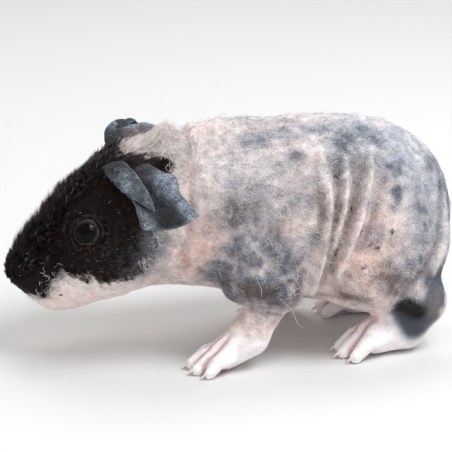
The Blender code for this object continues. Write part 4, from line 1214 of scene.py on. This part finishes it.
def blades(starts, normals, ways, lengths, widths, lift, curl, segments, draw):
    """Blades as arrays. Each runs from its root along a way that starts lifted off the skin by
    the angle lift and bends down towards it, with a curl that widens towards the tip. Its
    cross-section is a flat triangle that narrows as the root of what is left."""
    count = len(starts)
    share = np.linspace(0, 1, segments + 1)[None, :, None]
    angle = lift[:, None, None] * (1 - 0.45 * share)
    ahead, out = ways[:, None], normals[:, None]
    beside = np.cross(normals, ways)[:, None]
    step = np.cos(angle) * ahead + np.sin(angle) * out
    line = np.cumsum(step, axis=1) - step[:, :1]
    line = line / segments * lengths[:, None, None]
    phase = draw.uniform(0, 2 * math.pi, (count, 1, 1))
    pitch = draw.uniform(0.7, 1.3, (count, 1, 1)) * 2 * math.pi
    size = (curl * lengths)[:, None, None] * np.minimum(share * 1.6, 1.0)
    swing = pitch * share * draw.choice([-1, 1], (count, 1, 1))
    line = line + size * ((np.cos(swing + phase) - np.cos(phase)) * beside
                          + 0.5 * (np.sin(swing + phase) - np.sin(phase)) * ahead)
    line = line + starts[:, None] - 0.18 * out
    slope = unit(np.gradient(line, axis=1))
    flat = unit(np.cross(out, slope))
    above = np.cross(slope, flat)
    half = widths[:, None, None] / 2 * np.sqrt(1 - share**1.3)
    ring = line[:, :-1]
    half, flat, above = half[:, :-1], flat[:, :-1], above[:, :-1]
    rings = np.stack([ring + half * flat, ring - half * flat, ring + half * above * 0.8], 2)
    each = segments * 3 + 1
    made = np.concatenate([rings.reshape(count, -1, 3), line[:, -1:]], 1)
    faces = [(0, 2, 1)]
    for k in range(segments - 1):
        for j in range(3):
            a, b = 3 * k + j, 3 * k + (j + 1) % 3
            faces += [(a, b, b + 3), (a, b + 3, a + 3)]
    top = 3 * (segments - 1)
    faces += [(top + j, top + (j + 1) % 3, each - 1) for j in range(3)]
    faces = np.array(faces)[None] + (np.arange(count) * each)[:, None, None]
    along = np.concatenate([np.repeat(np.arange(segments) / segments, 3), [1.0]])
    return made, faces.reshape(-1, 3), each, along


def coat(name, density, tufts, seed, material, tones, length, width, lift, curl, segments=2,
         per_tuft=1, spread=0.4, clump=0.0, sway=0.22, above=0.0):
    """A coat in pieces of under 200,000 triangles. Each tuft is a few blades rooted within
    spread of its middle, whose tips are drawn together by clump. length, width, lift, curl and
    above, the height of the root over the skin, are numbers or functions of the roots; tones
    gives each root's colour."""
    draw = np.random.default_rng(seed)
    middles, normals = roots(density, tufts, draw)
    ways = lie_of(middles, normals)
    ways = unit(ways + draw.normal(0, sway, (tufts, 1)) * np.cross(normals, ways))
    middles, normals, ways = (np.repeat(part, per_tuft, 0) for part in (middles, normals, ways))
    count = len(middles)
    beside = np.cross(normals, ways)
    offset = draw.normal(0, spread, (count, 2)) if per_tuft > 1 else np.zeros((count, 2))
    starts = middles + offset[:, :1] * ways + offset[:, 1:] * beside
    ways = unit(ways + draw.normal(0, sway * 0.5, (count, 1)) * beside)

    def value(given, spread):
        got = given(starts) if callable(given) else np.full(count, float(given))
        return got * draw.uniform(1 - spread, 1 + spread, count)
    lengths, widths = value(length, 0.3), value(width, 0.25)
    lifts, curls = value(lift, 0.35), value(curl, 0.4)
    starts, middles = (part + normals * value(above, 0.0)[:, None] for part in (starts, middles))
    made, faces, each, along = blades(starts, normals, ways, lengths, widths, lifts, curls, segments, draw)
    made = made + (clump * along**1.5)[None, :, None] * (middles - starts)[:, None]
    made[..., 2] = np.maximum(made[..., 2], 0.05)
    colours = tones(starts, draw)
    home = unwrap(starts)
    per_piece = PIECE_LIMIT // (len(faces) // count)
    for number, first in enumerate(range(0, count, per_piece), 1):
        last = min(count, first + per_piece)
        own = faces[: (last - first) * (len(faces) // count)]
        piece = mesh_of(f"{name}_{number}", made[first:last], own, smooth=True)
        tip = 0.8 + 0.4 * along[None, :, None]
        put_colour(piece, "tone", (colours[first:last, None] * tip).reshape(-1, 3))
        spot = home[first:last, None] + PATCH * np.stack(
            [along - 0.5, np.tile(np.arange(3) / 3, each)[:each] - 0.5], -1)
        layer = piece.data.uv_layers.new(name="OFBake")
        layer.data.foreach_set("uv", spot.reshape(-1, 2)[own.reshape(-1)].astype(np.float32).ravel())
        piece.data.materials.append(material)
        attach(piece, "root")


def hair_material(name, roughness, gloss):
    """Hair takes its blade's own colour, a little darker and lighter in fine streaks."""
    return living_material(name, 1.0, 1.0, 0.0, 0.2, roughness, 0.0, gloss)


DARK_HAIR = np.array((0.0086, 0.0040, 0.0028))
BROWN_HAIR = np.array((0.085, 0.061, 0.053))
WHITE_HAIR = np.array((0.86, 0.81, 0.79))
GREY_HAIR = np.array((0.13, 0.135, 0.155))
dark_fur = hair_material("dark_fur", 0.5, 0.12)
sleek_fur = hair_material("sleek_fur", 0.36, 0.24)
pale_fur = hair_material("pale_fur", 0.6, 0.3)
SPOT_MASK = dark_mask(SPOT_MIDDLES, 1.0)
SPOT_HEAD = to_head(SPOT_MIDDLES)
SPOT_FOUND = markings(SPOT_MIDDLES)


def dark_tones(points, draw):
    """Near-black in small lighter and darker clumps, with brown hairs among them, more of them on
    the cheeks, grey ones under the ear, and here and there a pale fleck."""
    s, _, t = to_head(points).T
    clumps = np.clip(1 + 0.45 * waves(points, 1.3, 61) + 0.35 * waves(points, 0.7, 62), 0.2, 2.4)
    often = (0.16 + 0.55 * smooth(12, 24, s) * smooth(6, -2, t)) * clumps
    brown = (draw.random(len(points)) < often) * draw.uniform(0.0, 1.0, len(points)) ** 1.5
    tone = mixed(DARK_HAIR, BROWN_HAIR, brown) * (draw.uniform(0.6, 1.5, len(points)) * clumps)[:, None]
    under_ear = 0.45 * smooth(21, 28, s) * smooth(-3, -9, t) * clumps
    tone = mixed(tone, GREY_HAIR, (draw.random(len(points)) < under_ear) * 0.8)
    return mixed(tone, WHITE_HAIR, (draw.random(len(points)) < 0.006) * 0.5)


def face_length(points):
    """Shortest round the nose, longer where the mask ends over the jaw and behind."""
    s, _, t = to_head(points).T
    edge = smooth(5.0, 0.5, t - np.interp(s, *MASK_LOWER)) * smooth(8, 16, s)
    return (0.75 + 0.35 * smooth(2, 12, s) + 0.8 * edge) * (0.7 + 0.3 * clear_of_eyes(points, 6.0))


def face_lift(points):
    near_nose = smooth(3.0, -2.0, to_head(points)[:, 0])
    return 0.32 + 0.25 * near_nose + 0.2 * (1 - clear_of_eyes(points, 5.5))


def over_lids(points):
    """The lids stand a little over the skin round the eyes."""
    return 0.22 * (1 - clear_of_eyes(points, 5.6))


def crest_share(places):
    """1 along the top of the forehead, bridge and nose, 0 on the cheeks."""
    s, w, t = places.T
    return smooth(10.0, 5.0, np.abs(w)) * smooth(-5.0, 0.0, t) * smooth(44, 38, s)


def crest_length(points):
    s = to_head(points)[:, 0]
    return 0.9 + 2.5 * smooth(1, 7, s) - 1.7 * smooth(20, 34, s)


bare_ring = 0.35 * clear_of_eyes(SPOT_MIDDLES, 3.2) + 0.65 * clear_of_eyes(SPOT_MIDDLES, 4.6)
coat("face_fur", SPOT_MASK**2 * bare_ring, 13000, 101, dark_fur, dark_tones, face_length, 0.14,
     face_lift, 0.06, per_tuft=3, spread=0.35, clump=0.5, above=over_lids)
coat("crest_fur", SPOT_MASK**2 * crest_share(SPOT_HEAD) * clear_of_eyes(SPOT_MIDDLES, 5.0), 1250, 105,
     sleek_fur, dark_tones, crest_length, 0.15, 0.95, 0.02, segments=3, per_tuft=7, spread=0.27, clump=0.96,
     sway=0.30)


def jaw_tones(points, draw):
    return mixed(WHITE_HAIR, GREY_HAIR, draw.random(len(points)) < 0.08)


s, w, t = SPOT_HEAD.T
below_mask = t - np.interp(s, *MASK_LOWER)
jaw = smooth(36, 30, s) * smooth(1.5, -1.0, below_mask) * (1 - SPOT_MASK)
coat("jaw_fur", jaw * (0.25 + 0.75 * smooth(-5.0, -1.0, below_mask)), 6000, 102, pale_fur, jaw_tones,
     0.95, 0.10, 0.35, 0.10)
mouth = smooth(18, 10, s) * smooth(1.6, 0.6, np.abs(below_mask))
coat("mouth_fur", mouth, 260, 106, pale_fur, jaw_tones, 2.0, 0.10, 0.5, 0.30, segments=5, per_tuft=2)
pad = smooth(15.0, 9.0, s) * smooth(1.0, 2.5, s) * smooth(2.0, 3.5, np.abs(w))
pad = pad * smooth(-9.5, -7.5, t) * smooth(2, -3, t)
coat("whiskers", pad, 36, 108, pale_fur, jaw_tones, 2.4, 0.08, 0.9, 0.26, segments=10, sway=1.2)


def body_tones(points, draw):
    """Mostly white fuzz, with grey hairs among it over the slate marks and dark ones on the hocks."""
    found = markings(points)
    # The grey hairs also follow the dark brown marks, with the painted crease shade among them.
    dark = np.clip(found["slate"] * 0.75 + found["umber"] * 0.6, 0, 0.9)
    grey = (draw.random(len(points)) < dark) * draw.uniform(0.5, 1.0, len(points))
    tone = mixed(WHITE_HAIR, GREY_HAIR, grey)
    tone = mixed(tone, GREY_HAIR * draw.uniform(0.3, 1.2, (len(points), 1)), found["heel"] * 0.9)
    tone = mixed(tone, GREY_HAIR * 0.2 + GREY_HAIR * (draw.random((len(points), 1)) < 0.3), found["hock"])
    return mixed(tone, DARK_HAIR, found["mask"]) * draw.uniform(0.75, 1.15, (len(points), 1))


behind = s - np.interp(t, *MASK_BACK)
notch = 3.8 * smooth(7.0, 3.0, np.abs(w)) * smooth(6.0, 8.0, t)
nape = smooth(-1.0, 1.0, behind + notch) * smooth(9.0, 4.0, behind) * (SPOT_MIDDLES[:, 2] > 22)


NAPE_HAIR = np.array((0.90, 0.83, 0.80))
NAPE_TAN = np.array((0.34, 0.26, 0.23))


def nape_tones(points, draw):
    """White, with tan hairs among it in streaks."""
    crown = smooth(6.0, 9.0, to_head(points)[:, 2])
    tan = np.clip(0.22 + 0.25 * waves(points, 1.6, 63) + 0.25 * crown, 0, 1)
    return mixed(NAPE_HAIR, NAPE_TAN, (draw.random(len(points)) < tan) * draw.uniform(0.4, 1.0, len(points)))


coat("nape_fur", nape * (0.08 + 0.92 * smooth(-2, 4, t)), 1250, 103, pale_fur, nape_tones, 2.9, 0.11, 0.48,
     0.26, segments=5, per_tuft=3, spread=0.5, clump=0.5, sway=0.45)
high_up = 0.35 + 0.65 * smooth(12, 24, SPOT_MIDDLES[:, 2])
fuzz = high_up * (1 - SPOT_FOUND["mask"]) * (1 - 0.75 * SPOT_FOUND["foot"]) * (SPOT_MIDDLES[:, 2] > 1.5)
fuzz = fuzz * smooth(-46, -34, SPOT_MIDDLES[:, 0]) * (1 - 0.6 * SPOT_FOUND["pink"])


def fuzz_length(points):
    high, top = smooth(15, 42, points[:, 2]), smooth(54, 60, points[:, 2])
    return 1.0 + 0.8 * high * smooth(62, 25, points[:, 0]) - 0.5 * top


coat("body_fuzz", fuzz, 12000, 104, pale_fur, body_tones, fuzz_length, 0.08, 0.36, 0.17, segments=3,
     per_tuft=3, spread=0.8, clump=0.2, sway=0.6)
loops = fuzz * smooth(10, 30, SPOT_MIDDLES[:, 2]) * smooth(50, 20, SPOT_MIDDLES[:, 0])
loops = loops * (0.4 + 0.6 * smooth(-30, -18, SPOT_MIDDLES[:, 0]))
coat("body_curls", loops, 1500, 107, pale_fur, body_tones, 3.0, 0.085, 0.40, 0.26, segments=6,
     per_tuft=2, spread=0.6, clump=0.2, sway=0.8)
coat("long_hairs", loops * smooth(46, 38, SPOT_MIDDLES[:, 2]), 40, 109, pale_fur, jaw_tones, 9.0, 0.09,
     0.45, 0.08, segments=14, sway=0.9)

# The room: a plain pale floor and soft daylight from above and behind the camera. The camera
# stands to the animal's left and a little ahead, looking down by the photograph's angle.

AZIMUTH = math.radians(-10)
ELEVATION = math.radians(18)
DISTANCE = 0.5
FRAME_PIXELS = 452
PIXELS_PER_METRE = 3700.0
ORIGIN_PIXEL = (228, 340)

FLOOR_HALF = 2500.0
corners = FLOOR_HALF * np.array([(-1, -1, 0), (1, -1, 0), (1, 1, 0), (-1, 1, 0)])
floor = mesh_of("floor", corners - [0, 0, 0.05], np.array([[0, 1, 2, 3]]), smooth=False)
stone = bpy.data.materials.new("pale_floor")
stone.use_nodes = True
set_sockets(stone.node_tree, stone.node_tree.nodes["Principled BSDF"],
            {"Base Color": (0.72, 0.70, 0.68, 1), "Roughness": 0.9})
floor.data.materials.append(stone)
floor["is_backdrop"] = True

world = bpy.data.worlds.new("daylight")
world.use_nodes = True
set_sockets(world.node_tree, world.node_tree.nodes["Background"],
            {"Color": (0.86, 0.90, 0.96, 1), "Strength": 0.55})
bpy.context.scene.world = world


def soft_light(name, spot, aim, size, power, colour):
    lamp = bpy.data.lights.new(name, "AREA")
    lamp.shape, lamp.size, lamp.energy, lamp.color = "DISK", size, power, colour
    thing = bpy.data.objects.new(name, lamp)
    thing.location = spot
    thing.rotation_euler = (Vector(aim) - Vector(spot)).to_track_quat("-Z", "Y").to_euler()
    bpy.context.scene.collection.objects.link(thing)
    return thing


soft_light("daylight", (0.34, -0.24, 0.70), (0, 0, 0.03), 0.40, 5.1, (0.94, 0.97, 1.0))
soft_light("sky", (0.05, 0.35, 0.70), (0, 0, 0.03), 0.50, 2.2, (1.0, 0.98, 0.95))
fill = soft_light("fill", (-0.45, -0.65, 0.25), (-0.01, 0, 0.03), 1.2, 2.6, (1.0, 0.97, 0.94))
fill.visible_glossy = False
window = soft_light("window", (0.32, -0.29, 0.43), (-0.03, 0, 0.03), 0.55, 3.6, (0.55, 0.72, 1.0))
window.visible_diffuse = False
bpy.context.scene.view_settings.view_transform = "Standard"

camera = bpy.data.objects.new("camera", bpy.data.cameras.new("camera"))
bpy.context.scene.collection.objects.link(camera)
bpy.context.scene.camera = camera
back = Vector((math.sin(AZIMUTH) * math.cos(ELEVATION), -math.cos(AZIMUTH) * math.cos(ELEVATION),
               math.sin(ELEVATION)))
right = Vector((math.cos(AZIMUTH), math.sin(AZIMUTH), 0))
up = back.cross(right)
half_frame = FRAME_PIXELS / 2
aim = (right * (half_frame - ORIGIN_PIXEL[0]) + up * (ORIGIN_PIXEL[1] - half_frame)) / PIXELS_PER_METRE
camera.data.sensor_width = 36
camera.data.lens = 36 * DISTANCE / (FRAME_PIXELS / PIXELS_PER_METRE)
camera.data.clip_start = 0.01
camera.location = aim + back * DISTANCE - Vector(OFFSET)
camera.rotation_mode = "QUATERNION"
camera.rotation_quaternion = (-back).to_track_quat("-Z", "Y")

low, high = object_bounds()
